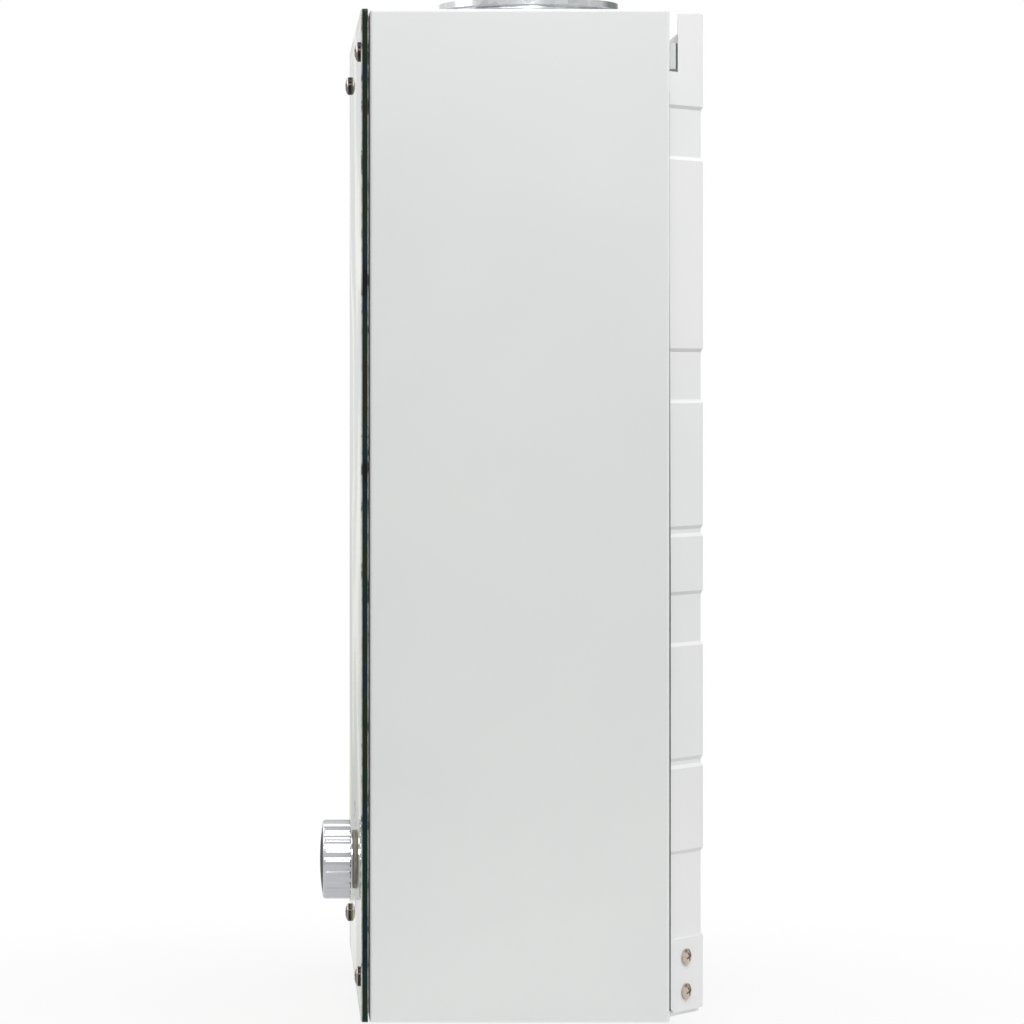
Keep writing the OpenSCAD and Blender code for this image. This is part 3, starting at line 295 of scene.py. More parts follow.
def enamel(name, light_code, dark_code, roughness):
    finish, tree, shader, place = start_finish(name)
    drift = add(tree, "ShaderNodeTexNoise", {"Vector": place, "Scale": 1 / COAT_DRIFT, "Detail": 2.0})
    tone = add(tree, "ShaderNodeValToRGB", {"Fac": drift.outputs["Fac"]})
    set_ramp(tone, [(0.3, dark_code), (0.7, light_code)])
    peel = add(tree, "ShaderNodeTexNoise", {"Vector": place, "Scale": 1 / PEEL, "Detail": 1.0})
    skin = add(tree, "ShaderNodeBump", {"Height": peel.outputs["Fac"], "Strength": 0.05,
                                        "Distance": PEEL_DEPTH})
    gloss = add(tree, "ShaderNodeMapRange", {"Value": drift.outputs["Fac"], "To Min": roughness - 0.03,
                                             "To Max": roughness + 0.05})
    end_finish(tree, shader, tone.outputs["Color"], gloss.outputs["Result"], skin.outputs["Normal"])
    shader.inputs["IOR"].default_value = RESIN_IOR
    return finish


# a cool white with soft, broad reflections
case_enamel = enamel("white_stove_enamel", "#E7E9E8", "#E2E4E4", roughness=0.34)
# the coat of the back: a plainer white, less glossy
back_enamel = enamel("white_back_enamel", "#EDEDED", "#E6E7E8", roughness=0.42)
wear(case_enamel, "casing")
wear(back_enamel, "back_plate", "lower_bracket")
print("enamel:", case_enamel.name, back_enamel.name)

# %% [markdown]
# ## Bare and plated metals
# Inside and underneath, the heater is a small collection of metals: zinc-plated steel for hooks,
# brackets and small screws, copper for everything that carries hot water, brass for the fittings, cast
# aluminium for the gas valve and stainless sheet for the burner. A metal keeps the default IOR, and its
# look comes from its colour, its roughness and the marks that rolling, turning or casting leave. Slow
# clouds of about 30 mm change the tone, as handling and heat do.

# %% Metals
TARNISH = 30 * MM


def metal(name, code, tint_code, roughness, grain, stretch=(1, 1, 1), bump=0.05, depth=0.1 * MM):
    finish, tree, shader, place = start_finish(name)
    laid = add(tree, "ShaderNodeMapping", {"Vector": place, "Scale": stretch})
    marks = add(tree, "ShaderNodeTexNoise", {"Vector": laid.outputs[0], "Scale": 1 / grain, "Detail": 4.0})
    cloud = add(tree, "ShaderNodeTexNoise", {"Vector": place, "Scale": 1 / TARNISH, "Detail": 3.0})
    tone = add(tree, "ShaderNodeMix", {0: cloud.outputs["Fac"], 6: linear(code), 7: linear(tint_code)},
               data_type="RGBA")
    gloss = add(tree, "ShaderNodeMapRange", {"Value": marks.outputs["Fac"],
                                             "To Min": max(roughness - 0.1, 0.03),
                                             "To Max": roughness + 0.1})
    relief = add(tree, "ShaderNodeBump", {"Height": marks.outputs["Fac"], "Strength": bump,
                                          "Distance": depth})
    end_finish(tree, shader, tone.outputs[2], gloss.outputs["Result"], relief.outputs["Normal"])
    shader.inputs["Metallic"].default_value = 1.0
    return finish


# clear passivation on bright zinc: warm heads with sharp glints
passivated = metal("passivated_zinc_screws", "#D2C7BB", "#B6A899", roughness=0.1, grain=0.9 * MM, bump=0.02)
# zinc plate: bluish grey with a dull sheen
zinc = metal("zinc_plated_steel", "#B9BCC0", "#A8A79C", roughness=0.34, grain=1.2 * MM)
# drawn copper, browned by heat
copper = metal("bare_copper", "#C77A52", "#A65B3C", roughness=0.30, grain=1.5 * MM)
# machined brass: yellow, with fine rings from turning
brass = metal("machined_brass", "#C9A45C", "#AE8644", roughness=0.28, grain=0.6 * MM, stretch=(1, 1, 6))
# pressure casting: pale grey, matt and a little sandy
cast_alloy = metal("die_cast_aluminium", "#A6A8AA", "#94969A", roughness=0.52, grain=1.1 * MM, bump=0.35,
                   depth=0.3 * MM)
# rolled sheet: grey, with streaks along the rolling
stainless = metal("rolled_stainless_sheet", "#A9ADB2", "#9A9DA2", roughness=0.30, grain=0.8 * MM,
                  stretch=(1, 12, 1))
wear(passivated, "bracket_screws", "casing_screws")
wear(zinc, "glass_nuts", "spindle", "chamber_brackets", "top_hooks", "burner_frame", "diaphragm_screws",
     "electrode_plate", "lid_contacts", "lid_pin")
wear(copper, "exchanger_case", "exchanger_fins", "exchanger_tubes", "fire_chamber", "chamber_coil",
     "cold_riser", "hot_pipe")
wear(brass, "gas_jets", "gland_nut", "pipe_locknuts", "union_nuts", "water_valve", "diaphragm_cover")
wear(cast_alloy, "gas_valve", "gas_manifold", "gas_riser")
wear(stainless, "burner_blades")
print("metals:", [m.name for m in (passivated, zinc, copper, brass, cast_alloy, stainless)])

# %% [markdown]
# ## Spangled sheet
# The collar, the hood and the floor of the heater are steel sheet dipped in aluminium or zinc. The coat
# freezes in flat crystals, the spangle, each with its own shine. Voronoi cells of about seven
# millimetres vary the roughness and the tone from crystal to crystal.

# %% Spangled sheet
SPANGLE = 7 * MM
DIP_GRAIN = 1.2 * MM


def spangled(name, light_code, dark_code, roughness):
    finish, tree, shader, place = start_finish(name)
    crystals = add(tree, "ShaderNodeTexVoronoi", {"Vector": place, "Scale": 1 / SPANGLE})
    shade = add(tree, "ShaderNodeSeparateColor", {"Color": crystals.outputs["Color"]})
    tone = add(tree, "ShaderNodeMix", {0: shade.outputs[0], 6: linear(light_code), 7: linear(dark_code)},
               data_type="RGBA")
    gloss = add(tree, "ShaderNodeMapRange", {"Value": shade.outputs[1], "To Min": roughness - 0.06,
                                             "To Max": roughness + 0.1})
    fine = add(tree, "ShaderNodeTexNoise", {"Vector": place, "Scale": 1 / DIP_GRAIN, "Detail": 2.0})
    relief = add(tree, "ShaderNodeBump", {"Height": fine.outputs["Fac"], "Strength": 0.06,
                                          "Distance": 0.1 * MM})
    end_finish(tree, shader, tone.outputs[2], gloss.outputs["Result"], relief.outputs["Normal"])
    shader.inputs["Metallic"].default_value = 1.0
    return finish


# aluminium coat: bright, with a clear mirror image in each crystal
flue_sheet = spangled("aluminised_sheet", "#C8CACC", "#B6B8BB", roughness=0.2)
# zinc coat: paler and duller
floor_sheet = spangled("galvanised_sheet", "#E0E2E4", "#D2D4D7", roughness=0.42)
wear(flue_sheet, "flue_collar", "draught_hood")
wear(floor_sheet, "bottom_plate", "floor_rim")
print("spangled sheet:", flue_sheet.name, floor_sheet.name)

# %% [markdown]
# ## Plastics, rubber, ceramic and coats
# The small mouldings are black ABS with a spark-eroded texture, the neck ring of the knob is nylon, the
# washers behind the glass are rubber and the electrodes are glazed alumina. The black of the painted seam
# shadow, the ink and the coat on the back of the glass are made by the same rule: slow clouds of 20 mm in
# the tone, and a fine noise of about a millimetre in gloss and relief. All of them are dielectrics with an
# IOR near 1.5.

# %% Mouldings
BATCH_CLOUD = 20 * MM


def moulded(name, code, tint_code, roughness, texture, bump):
    finish, tree, shader, place = start_finish(name)
    cloud = add(tree, "ShaderNodeTexNoise", {"Vector": place, "Scale": 1 / BATCH_CLOUD, "Detail": 2.0})
    tone = add(tree, "ShaderNodeMix", {0: cloud.outputs["Fac"], 6: linear(code), 7: linear(tint_code)},
               data_type="RGBA")
    spark = add(tree, "ShaderNodeTexNoise", {"Vector": place, "Scale": 1 / texture, "Detail": 2.0})
    gloss = add(tree, "ShaderNodeMapRange", {"Value": spark.outputs["Fac"], "To Min": roughness - 0.05,
                                             "To Max": roughness + 0.08})
    relief = add(tree, "ShaderNodeBump", {"Height": spark.outputs["Fac"], "Strength": bump,
                                          "Distance": 0.2 * MM})
    end_finish(tree, shader, tone.outputs[2], gloss.outputs["Result"], relief.outputs["Normal"])
    shader.inputs["IOR"].default_value = RESIN_IOR
    return finish


# spark-eroded black: a grey sheen without a mirror image
black_abs = moulded("black_abs", "#26272A", "#1D1E20", roughness=0.48, texture=0.6 * MM, bump=0.25)
# undyed nylon: ivory and a little waxy
bush_nylon = moulded("natural_nylon", "#F1EAD2", "#E6DDC2", roughness=0.42, texture=0.8 * MM, bump=0.15)
# rubber: matt, nearly black
washer_rubber = moulded("black_rubber", "#2B282D", "#211F24", roughness=0.62, texture=0.8 * MM, bump=0.2)
# glazed ceramic: cream with a glassy shine
alumina = moulded("glazed_alumina", "#EFEBE0", "#E3DCCB", roughness=0.18, texture=2 * MM, bump=0.04)
# painted shadow for the gap behind the case: black, gives back almost no light
seam_shadow_black = moulded("painted_seam_shadow", "#151417", "#0E0D10", roughness=0.8, texture=0.8 * MM, bump=0.3)
# fired ink: dense white with a satin face
ink = moulded("white_ceramic_ink", "#E8E9E4", "#DDDED8", roughness=0.4, texture=0.6 * MM, bump=0.05)
# screen-printed back coat: a mauve line behind the edge of the glass
plum_coat = moulded("plum_back_coat", "#B59CB1", "#A58CA1", roughness=0.6, texture=0.8 * MM, bump=0.05)
# shrunk film: smooth slate blue
cell_jacket = moulded("cell_jacket_film", "#3A4150", "#2C3440", roughness=0.25, texture=1 * MM, bump=0.03)
wear(black_abs, "gas_solenoid", "microswitch", "limit_thermostat", "flue_thermostat", "control_box",
     "battery_box", "battery_lid")
wear(bush_nylon, "knob_bush")
wear(washer_rubber, "glass_spacers")
wear(alumina, "ignition_electrode", "flame_sensor")
wear(cell_jacket, "battery_cells")
print("mouldings:", [m.name for m in (black_abs, bush_nylon, washer_rubber, alumina, cell_jacket)])
print("foam and coats:", [m.name for m in (seam_shadow_black, ink, plum_coat)])

# %% [markdown]
# ## Turned pieces
# The knob, the glass screws and the pipe fittings come off a lathe, and one function turns them all. It
# takes heights and radii along the axis, makes a ring of points at each, and joins the rings. A flute or
# a hexagon is a radius that changes with the angle. The other functions make the result an object, shade
# it smooth up to its sharp edges, and keep it as a piece of the heater.

# %% Helpers for turned pieces
FRONT = Vector((0, -1, 0))
UP = Vector((0, 0, 1))
SHARP = math.radians(32)


def join_rings(shape, rings):
    for low, high in zip(rings, rings[1:]):
        for k in range(len(low)):
            n = (k + 1) % len(low)
            shape.faces.new((low[k], low[n], high[n], high[k]))
    shape.faces.new(rings[0])
    shape.faces.new(rings[-1])


def turn_solid(shape, outline, foot, out, steps):
    across = Vector((1, 0, 0))
    beside = out.cross(across)
    rings = []
    for height, radius in outline:
        ring = []
        for k in range(steps):
            angle = 2 * math.pi * k / steps
            r = radius(angle) if callable(radius) else radius
            spoke = across * math.cos(angle) + beside * math.sin(angle)
            ring.append(shape.verts.new(foot + out * height + spoke * r))
        rings.append(ring)
    join_rings(shape, rings)


def as_object(shape, name):
    bmesh.ops.recalc_face_normals(shape, faces=shape.faces)
    mesh = bpy.data.meshes.new(name)
    shape.to_mesh(mesh)
    shape.free()
    return put(name, mesh)


def soften(mesh):
    mesh.shade_smooth()
    mesh.set_sharp_from_angle(angle=SHARP)


def keep_solid(shape, name, finish, body, slot, *nodes):
    piece = as_object(shape, name)
    piece.data.materials.append(finish)
    soften(piece.data)
    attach(piece, body)
    if nodes:
        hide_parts(*nodes)
    print(name, "faces:", len(piece.data.polygons))


# %% [markdown]
# ## The knob
# The knob is aluminium, milled with twenty flutes 0.8 mm deep and polished, so that each flute mirrors
# the ceiling, the room and the floor as a bright and a grey band. It is turned again here, to soften the
# ridges between the flutes as polishing does, and to step its back, which lets light fall on the pale
# neck behind it. Noise that is stretched along the axis gives the faint marks of milling.

# %% Flutes
FLUTES = 20
FLUTE_R = 3.6 * MM
FLUTE_DEPTH = 0.8 * MM
RIDGE_R = 0.15 * MM
knob_low, knob_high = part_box("knob")
knob_axis = (knob_low + knob_high) / 2
KNOB_R = (knob_high.x - knob_low.x) / 2
KNOB_L = knob_high.y - knob_low.y


def fluted(limit):
    pitch = 2 * math.pi / FLUTES
    reach = KNOB_R + FLUTE_R - FLUTE_DEPTH

    def radius(angle):
        lean = angle % pitch - pitch / 2
        side = min(abs(reach * math.sin(lean)), FLUTE_R)
        hollow = reach * math.cos(lean) - math.sqrt(FLUTE_R ** 2 - side ** 2)
        blend = max(RIDGE_R - abs(limit - hollow), 0)
        return min(limit, hollow) - blend ** 2 / (4 * RIDGE_R)
    return radius


print("knob:", round(2000 * KNOB_R, 1), "mm across,", round(1000 * KNOB_L, 1), "mm long")

# %% Fluted knob
KNOB_STEPS = FLUTES * 14
KNOB_EDGE = 1.8 * MM
BACK_EDGE = 0.3 * MM
HUB_R = 17.2 * MM
HUB_STEP = 1.0 * MM
KNOB_BORE_R = 4.1 * MM
KNOB_BORE_L = 10 * MM
CAP_SEAT = 1.6 * MM
CAP_GAP = 0.3 * MM
# a ring this far from each end keeps the shading of the long flutes clean
GUARD = 0.5 * MM
EDGE_BENDS = [math.radians(15 * k) for k in range(7)]
cap_low, cap_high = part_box("knob_cap")
CAP_R = (cap_high.x - cap_low.x) / 2

# bright aluminium: clear bands of light, drawn out a little along the axis
polished = metal("polished_aluminium", "#C6C7CB", "#BCBDC2", roughness=0.12, grain=1.2 * MM,
                 stretch=(1, 0.06, 1), bump=0.03)
grip = fluted(KNOB_R)
outline = [(KNOB_BORE_L, KNOB_BORE_R), (0, KNOB_BORE_R), (0, HUB_R), (HUB_STEP, HUB_R),
           (HUB_STEP, fluted(KNOB_R - BACK_EDGE)), (HUB_STEP + BACK_EDGE, grip),
           (HUB_STEP + BACK_EDGE + GUARD, grip), (KNOB_L - KNOB_EDGE - GUARD, grip)]
for bend in EDGE_BENDS:
    height = KNOB_L - KNOB_EDGE * (1 - math.sin(bend))
    outline.append((height, fluted(KNOB_R - KNOB_EDGE * (1 - math.cos(bend)))))
outline += [(KNOB_L, CAP_R + CAP_GAP), (KNOB_L - CAP_SEAT, CAP_R + CAP_GAP)]
shape = bmesh.new()
turn_solid(shape, outline, Vector((knob_axis.x, knob_high.y, knob_axis.z)), FRONT, KNOB_STEPS)
keep_solid(shape, "turned_knob", polished, "knob", "knob_aluminium", "knob")

# %% [markdown]
# ### Its cap
# The cap is a disc with a shallow crown of 1.4 mm and a black anodised skin, which is satin and almost
# without a reflection. The rings of turning are a wave on the distance from the axis, so a Mapping node
# moves the axis to the knob's centre first. They are drawn 0.7 mm apart, coarser than real ones, so that
# they show. A white pointer is printed on the crown, 0.1 mm thick.

# %% Black anodised skin
TURNING = 0.7 * MM
ANODISE_CLOUD = 8 * MM
# a deep black that stays satin, with faint rings from turning
anodised, tree, shader, place = start_finish("black_anodised_aluminium")
centred = add(tree, "ShaderNodeMapping", {"Vector": place, "Location": (-knob_axis.x, 0, -knob_axis.z)})
flat = add(tree, "ShaderNodeVectorMath", {0: centred.outputs[0], 1: (1, 0, 1)}, operation="MULTIPLY")
radius = add(tree, "ShaderNodeVectorMath", {0: flat.outputs[0]}, operation="LENGTH")
phase = add(tree, "ShaderNodeMath", {0: radius.outputs["Value"], 1: 2 * math.pi / TURNING},
            operation="MULTIPLY")
wave = add(tree, "ShaderNodeMath", {0: phase.outputs[0]}, operation="SINE")
cloud = add(tree, "ShaderNodeTexNoise", {"Vector": place, "Scale": 1 / ANODISE_CLOUD, "Detail": 3.0})
tone = add(tree, "ShaderNodeMix", {0: cloud.outputs["Fac"], 6: linear("#1C1B1E"), 7: linear("#161518")},
           data_type="RGBA")
gloss = add(tree, "ShaderNodeMapRange", {"Value": cloud.outputs["Fac"], "To Min": 0.55, "To Max": 0.65})
relief = add(tree, "ShaderNodeBump", {"Height": wave.outputs[0], "Strength": 0.08, "Distance": 0.05 * MM})
end_finish(tree, shader, tone.outputs[2], gloss.outputs["Result"], relief.outputs["Normal"])
shader.inputs["Specular IOR Level"].default_value = 0.2
print("finish:", anodised.name)

# %% Crowned cap and pointer
CROWN = knob_low.y - cap_low.y
CROWN_BENDS = [math.radians(6 * k) for k in range(15)]
CAP_STEPS = 96
POINTER_W = 1.6 * MM
POINTER_T = 0.1 * MM
POINTER_AT = [7 * MM + 1.2 * MM * k for k in range(9)]
cap_foot = Vector((knob_axis.x, knob_low.y, knob_axis.z))


def crown(radius):
    return CROWN * (1 - (radius / CAP_R) ** 2)


radii = [CAP_R * math.cos(bend) for bend in CROWN_BENDS]
shape = bmesh.new()
turn_solid(shape, [(-CAP_SEAT, CAP_R)] + [(crown(r), r) for r in radii], cap_foot, FRONT, CAP_STEPS)
keep_solid(shape, "crowned_cap", anodised, "knob", "knob_aluminium", "knob_cap")

shape = bmesh.new()
bars = []
for r in POINTER_AT:
    bar = []
    for side, rise in ((-1, -1), (1, -1), (1, 1), (-1, 1)):
        beside = Vector((side * POINTER_W / 2, 0, 0))
        bar.append(shape.verts.new(cap_foot + UP * r + beside + FRONT * (crown(r) + rise * POINTER_T)))
    bars.append(bar)
join_rings(shape, bars)
keep_solid(shape, "pointer_mark", ink, "knob", "knob_aluminium")

# %% [markdown]
# ## Painted shadow behind the case
# A thin black strip lies on the rear lip of the case, beside the back plate's wall: a painted shadow for
# the gap between the case and the back plate. From the side only its edge shows: flat in the upper
# quarter, and then a dark line that grows to 0.6 mm.

# %% Painted seam shadow
# a black strip painted as the shadow in the gap between the case and the back plate
SHADOW_STRIP_FROM = 0.25
SHADOW_STRIP_GROWN = 0.57
SHADOW_STRIP_T = 0.62 * MM
SHADOW_STRIP_FLAT = 0.04 * MM
SHADOW_STRIP_STEPS = 40
SHADOW_STRIP_BELOW_TOP = 45 * MM
SHADOW_STRIP_ABOVE_FOOT = 6 * MM
LIP_EDGE = 1.3 * MM
LIP_W = 8.5 * MM
shadow_strip_top = case_high.z - SHADOW_STRIP_BELOW_TOP
shadow_strip_foot = case_low.z + SHADOW_STRIP_ABOVE_FOOT
inner = case_high.x - LIP_W
outer = case_high.x - LIP_EDGE
shape = bmesh.new()
for side in (-1, 1):
    rings = []
    for k in range(SHADOW_STRIP_STEPS + 1):
        height = shadow_strip_top + (shadow_strip_foot - shadow_strip_top) * k / SHADOW_STRIP_STEPS
        drop = (case_high.z - height) / (case_high.z - case_low.z)
        grown = min(max(drop - SHADOW_STRIP_FROM, 0) / (SHADOW_STRIP_GROWN - SHADOW_STRIP_FROM), 1)
        thick = SHADOW_STRIP_FLAT + (SHADOW_STRIP_T - SHADOW_STRIP_FLAT) * grown
        corners = [(inner, 0), (outer, 0), (outer, thick), (inner, thick)]
        rings.append([shape.verts.new((side * x, case_high.y + y, height)) for x, y in corners])
    join_rings(shape, rings)
# the strip is painted shadow, not a real part of the heater
keep_solid(shape, "case_seal", seam_shadow_black, "heater", "spacer_rubber")

# %% [markdown]
# ## The glass front
# The front is a pane of 4 mm toughened float glass, screen-printed on its back before it was hardened,
# with ground arrises and polished edges. Seen on edge, the long path through the glass turns it dark
# green, and the print shows through as patches of its own colours. The pane is a copy of the CAD solid
# with its triangles merged and its sharp rims bevelled, and it has four finishes: printed face, green
# edge, pale arris and plum back. A clear coat over the print stands for the glass in front of it, which
# keeps the pane quick to render and lets its look travel with the exported model. The ink is bonded to
# the glass, so the print under the coat has no gloss of its own, and a little dust dulls it by a fifth.

# %% Pane with arrises
ARRIS = 0.7 * MM
REAR_ARRIS = 0.3 * MM
MERGE = 0.02 * MM
ON_FACE = 0.01 * MM
FLAT_ANGLE = math.radians(1)
RIM_ANGLE = math.radians(60)
# how far a face's normal leans out of the edge, on an arris and on the flat faces
ARRIS_LEAN = 0.2
FACE_LEAN = 0.95
PRINT_SLOT, EDGE_SLOT, ARRIS_SLOT, BACK_SLOT = range(4)
pane_low, pane_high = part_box("glass_panel")

pane_mesh = solids["glass_panel"].data.copy()
pane_mesh.name = "glass_pane"
pane_mesh.materials.clear()
shape = bmesh.new()
shape.from_mesh(pane_mesh)
bmesh.ops.remove_doubles(shape, verts=shape.verts, dist=MERGE)
bmesh.ops.dissolve_limit(shape, angle_limit=FLAT_ANGLE, verts=shape.verts, edges=shape.edges)
for plane, offset in ((pane_low.y, ARRIS), (pane_high.y, REAR_ARRIS)):
    rims = [e for e in shape.edges if len(e.link_faces) == 2 and e.calc_face_angle(0) > RIM_ANGLE
            and all(abs(v.co.y - plane) < ON_FACE for v in e.verts)]
    bmesh.ops.bevel(shape, geom=rims, offset=offset, segments=1, profile=0.5, affect="EDGES")
shape.normal_update()
for face in shape.faces:
    lean = abs(face.normal.y)
    face.material_index = ARRIS_SLOT if lean > ARRIS_LEAN else EDGE_SLOT
    if lean > FACE_LEAN:
        face.material_index = PRINT_SLOT if face.normal.y < 0 else BACK_SLOT
shape.to_mesh(pane_mesh)
shape.free()
pane = put("glass_pane", pane_mesh)
print("pane faces:", len(pane_mesh.polygons))

# %% [markdown]
# ### The print
# The print is a plain design of layered ribbons in teal, olive and pale green, like the layers of a cut
# stone, inside a thin pale frame. A wave texture draws ribbons about 90 mm apart, slow noise of 250 mm
# bends them, and a ramp with steep steps cuts each into layers. The frame is a line of 1.2 mm that runs
# 9 mm inside the pane's edge: two distances to the sides, the smaller of them, and a narrow window.

# %% Printed face
RIBBON = 90 * MM
RIBBON_BEND = 250 * MM
BEND_SHARE = 0.3
# at a scale of one a straight wave repeats every 0.314 m; the diagonal and the bend draw it out twofold,
# so half a wave is one ribbon
WAVE_UNIT = 0.314
LINE_IN = 9 * MM
LINE_HALF = 0.6 * MM
GLASS_IOR = 1.52
LAYERS = [(0.0, "#0B2A2B"), (0.14, "#0F3A39"), (0.16, "#134844"), (0.3, "#175450"), (0.32, "#9DB59A"),
          (0.335, "#1D5A48"), (0.5, "#2A6247"), (0.52, "#34633A"), (0.68, "#4C7040"), (0.7, "#B9C59B"),
          (0.715, "#6B7C43"), (0.84, "#87934F"), (0.86, "#B4C092"), (1.0, "#D5DEC6")]
pane_mid = (pane_low + pane_high) / 2
pane_half = (pane_high - pane_low) / 2

# ink under glass: deep colours behind a clear, mirroring face
printed, tree, shader, place = start_finish("back_printed_glass")
centred = add(tree, "ShaderNodeMapping", {"Vector": place, "Location": -pane_mid})
drift = add(tree, "ShaderNodeTexNoise", {"Vector": centred.outputs[0], "Scale": 1 / RIBBON_BEND,
                                         "Detail": 2.0})
bent = add(tree, "ShaderNodeMix", {0: BEND_SHARE, 4: centred.outputs[0], 5: drift.outputs["Color"]},
           data_type="VECTOR")
ribbons = add(tree, "ShaderNodeTexWave", {"Vector": bent.outputs[1], "Scale": WAVE_UNIT / RIBBON,
                                          "Distortion": 2.0, "Detail": 2.0},
              wave_type="BANDS", bands_direction="DIAGONAL")
colours = add(tree, "ShaderNodeValToRGB", {"Fac": ribbons.outputs["Fac"]})
set_ramp(colours, LAYERS)
offset = add(tree, "ShaderNodeVectorMath", {0: centred.outputs[0]}, operation="ABSOLUTE")
inside = add(tree, "ShaderNodeVectorMath", {0: pane_half, 1: offset.outputs[0]}, operation="SUBTRACT")
sides = add(tree, "ShaderNodeSeparateXYZ", {0: inside.outputs[0]})
nearest = add(tree, "ShaderNodeMath", {0: sides.outputs["X"], 1: sides.outputs["Z"]}, operation="MINIMUM")
framed = add(tree, "ShaderNodeMath", {0: nearest.outputs[0], 1: LINE_IN, 2: LINE_HALF}, operation="COMPARE")
design = add(tree, "ShaderNodeMix", {0: framed.outputs[0], 6: colours.outputs["Color"],
                                     7: linear("#DCE2D6")}, data_type="RGBA")
tree.links.new(design.outputs[2], shader.inputs["Base Color"])
shader.inputs["Roughness"].default_value = 0.5
shader.inputs["Specular IOR Level"].default_value = 0.0
shader.inputs["Coat Weight"].default_value = 0.8
shader.inputs["Coat Roughness"].default_value = 0.02
shader.inputs["Coat IOR"].default_value = GLASS_IOR
print("print on a pane of", [round(2000 * v) for v in pane_half], "mm")

# %% [markdown]
# ### Edge and arris
# Along the edge, patches of the print come through the glass about every 30 mm: bottle green, teal,
# olive and a little brown and blue. The ground arris scatters light and looks pale, with dark and
# reddish flecks of about 12 mm where it is chipped clear.

# %% Edge and arris
EDGE_PATCH = 30 * MM
ARRIS_FLECK = 12 * MM
EDGE_TINTS = [(0.3, "#0E110F"), (0.39, "#0D2730"), (0.46, "#0E2C24"), (0.53, "#16271B"),
              (0.6, "#252715"), (0.7, "#231D1A")]
ARRIS_TINTS = [(0.36, "#45524B"), (0.43, "#A3ADA4"), (0.52, "#C4CBC2"), (0.62, "#B2BBB1"),
               (0.66, "#8A706C"), (0.7, "#6E7C72")]


def glass_rim(name, patch, detail, mottle, tints, roughness, specular):
    finish, tree, shader, place = start_finish(name)
    patches = add(tree, "ShaderNodeTexNoise", {"Vector": place, "Scale": 1 / patch, "Detail": detail,
                                               "Roughness": mottle})
    tint = add(tree, "ShaderNodeValToRGB", {"Fac": patches.outputs["Fac"]})
    set_ramp(tint, tints)
    tree.links.new(tint.outputs["Color"], shader.inputs["Base Color"])
    shader.inputs["Roughness"].default_value = roughness
    shader.inputs["IOR"].default_value = GLASS_IOR
    shader.inputs["Specular IOR Level"].default_value = specular
    return finish


# float glass seen along the pane: nearly black green with a thin gloss
edge = glass_rim("green_glass_edge", EDGE_PATCH, detail=3.0, mottle=0.55, tints=EDGE_TINTS, roughness=0.12,
                 specular=0.12)
# ground glass: a pale matt line with flecks
arris = glass_rim("ground_glass_arris", ARRIS_FLECK, detail=4.0, mottle=0.6, tints=ARRIS_TINTS,
                  roughness=0.4, specular=0.5)
for finish in (printed, edge, arris, plum_coat):
    pane_mesh.materials.append(finish)
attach(pane, "heater")
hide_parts("glass_panel")
print("pane finishes:", [m.name for m in pane_mesh.materials])

# %% [markdown]
# ## Repeats with Geometry Nodes
# What repeats on the heater is grown by small Geometry Nodes trees: screws, dial marks, grip ribs and
# threads. Each tree has named inputs for its sizes. One helper starts a tree, and another runs it on a
# seed mesh and keeps the result as a plain mesh, because an exported model holds meshes and no
# modifiers.

# %% Helpers for repeats
SOCKETS = {int: "NodeSocketInt", float: "NodeSocketFloat", tuple: "NodeSocketVector",
           bpy.types.Object: "NodeSocketObject"}


def start_tree(name, sizes):
    tree = bpy.data.node_groups.new(name, "GeometryNodeTree")
    tree.interface.new_socket("Geometry", in_out="INPUT", socket_type="NodeSocketGeometry")
    for label, value in sizes.items():
        tree.interface.new_socket(label, in_out="INPUT", socket_type=SOCKETS[type(value)])
    tree.interface.new_socket("Geometry", in_out="OUTPUT", socket_type="NodeSocketGeometry")
    return tree, add(tree, "NodeGroupInput").outputs


def end_tree(tree, shapes, finish):
    solid = add(tree, "GeometryNodeRealizeInstances", {"Geometry": shapes})
    painted = add(tree, "GeometryNodeSetMaterial", {"Geometry": solid.outputs[0], "Material": finish})
    add(tree, "NodeGroupOutput", {0: painted.outputs[0]})


def grow(name, tree, sizes, points, body):
    seed = bpy.data.meshes.new(name + "_seed")
    seed.from_pydata(points, [], [])
    piece = put(name, seed)
    rule = piece.modifiers.new(name, "NODES")
    rule.node_group = tree
    keys = {item.name: item.identifier for item in tree.interface.items_tree if item.in_out == "INPUT"}
    for label, value in sizes.items():
        rule[keys[label]] = value
    grown = piece.evaluated_get(bpy.context.evaluated_depsgraph_get())
    mesh = bpy.data.meshes.new_from_object(grown)
    piece.modifiers.remove(rule)
    piece.data = mesh
    bpy.data.meshes.remove(seed)
    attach(piece, body)
    print(name, "faces:", len(mesh.polygons))
    return piece


# %% [markdown]
# ## Glass screws
# Four pan-head screws hold the glass: heads of 11 mm with a short rim, a full crown and a cross recess.
# One blank is turned, and a star of twelve corners stands for the tool that presses the recess. A tree
# takes the star away from the blank and puts the finished screw on four points. The plating is a polished
# nickel whose colour holds painted light that follows the height above the glass: a painted glint on the
# shoulder of each head, and painted shade that darkens its rim and its crown.

# %% Screw blank and recess tool
HEAD_R = 5.5 * MM
HEAD_RIM = 1.0 * MM
HEAD_STEPS = 48
SHANK_R = 2.5 * MM
RECESS = [(3.0 * MM, -0.6 * MM), (3.0 * MM, 0.6 * MM), (0.6 * MM, 0.6 * MM)]
RECESS_DEPTH = 1.4 * MM
RECESS_TURN = math.radians(20)
screw_low, screw_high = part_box("glass_screws")
HEAD_H = pane_low.y - screw_low.y

outline = [(pane_low.y - screw_high.y, SHANK_R), (0, SHANK_R), (0, HEAD_R)]
for bend in CROWN_BENDS:
    outline.append((HEAD_RIM + (HEAD_H - HEAD_RIM) * math.sin(bend), HEAD_R * math.cos(bend)))
shape = bmesh.new()
turn_solid(shape, outline, Vector((0, 0, 0)), FRONT, HEAD_STEPS)
blank = as_object(shape, "screw_blank")

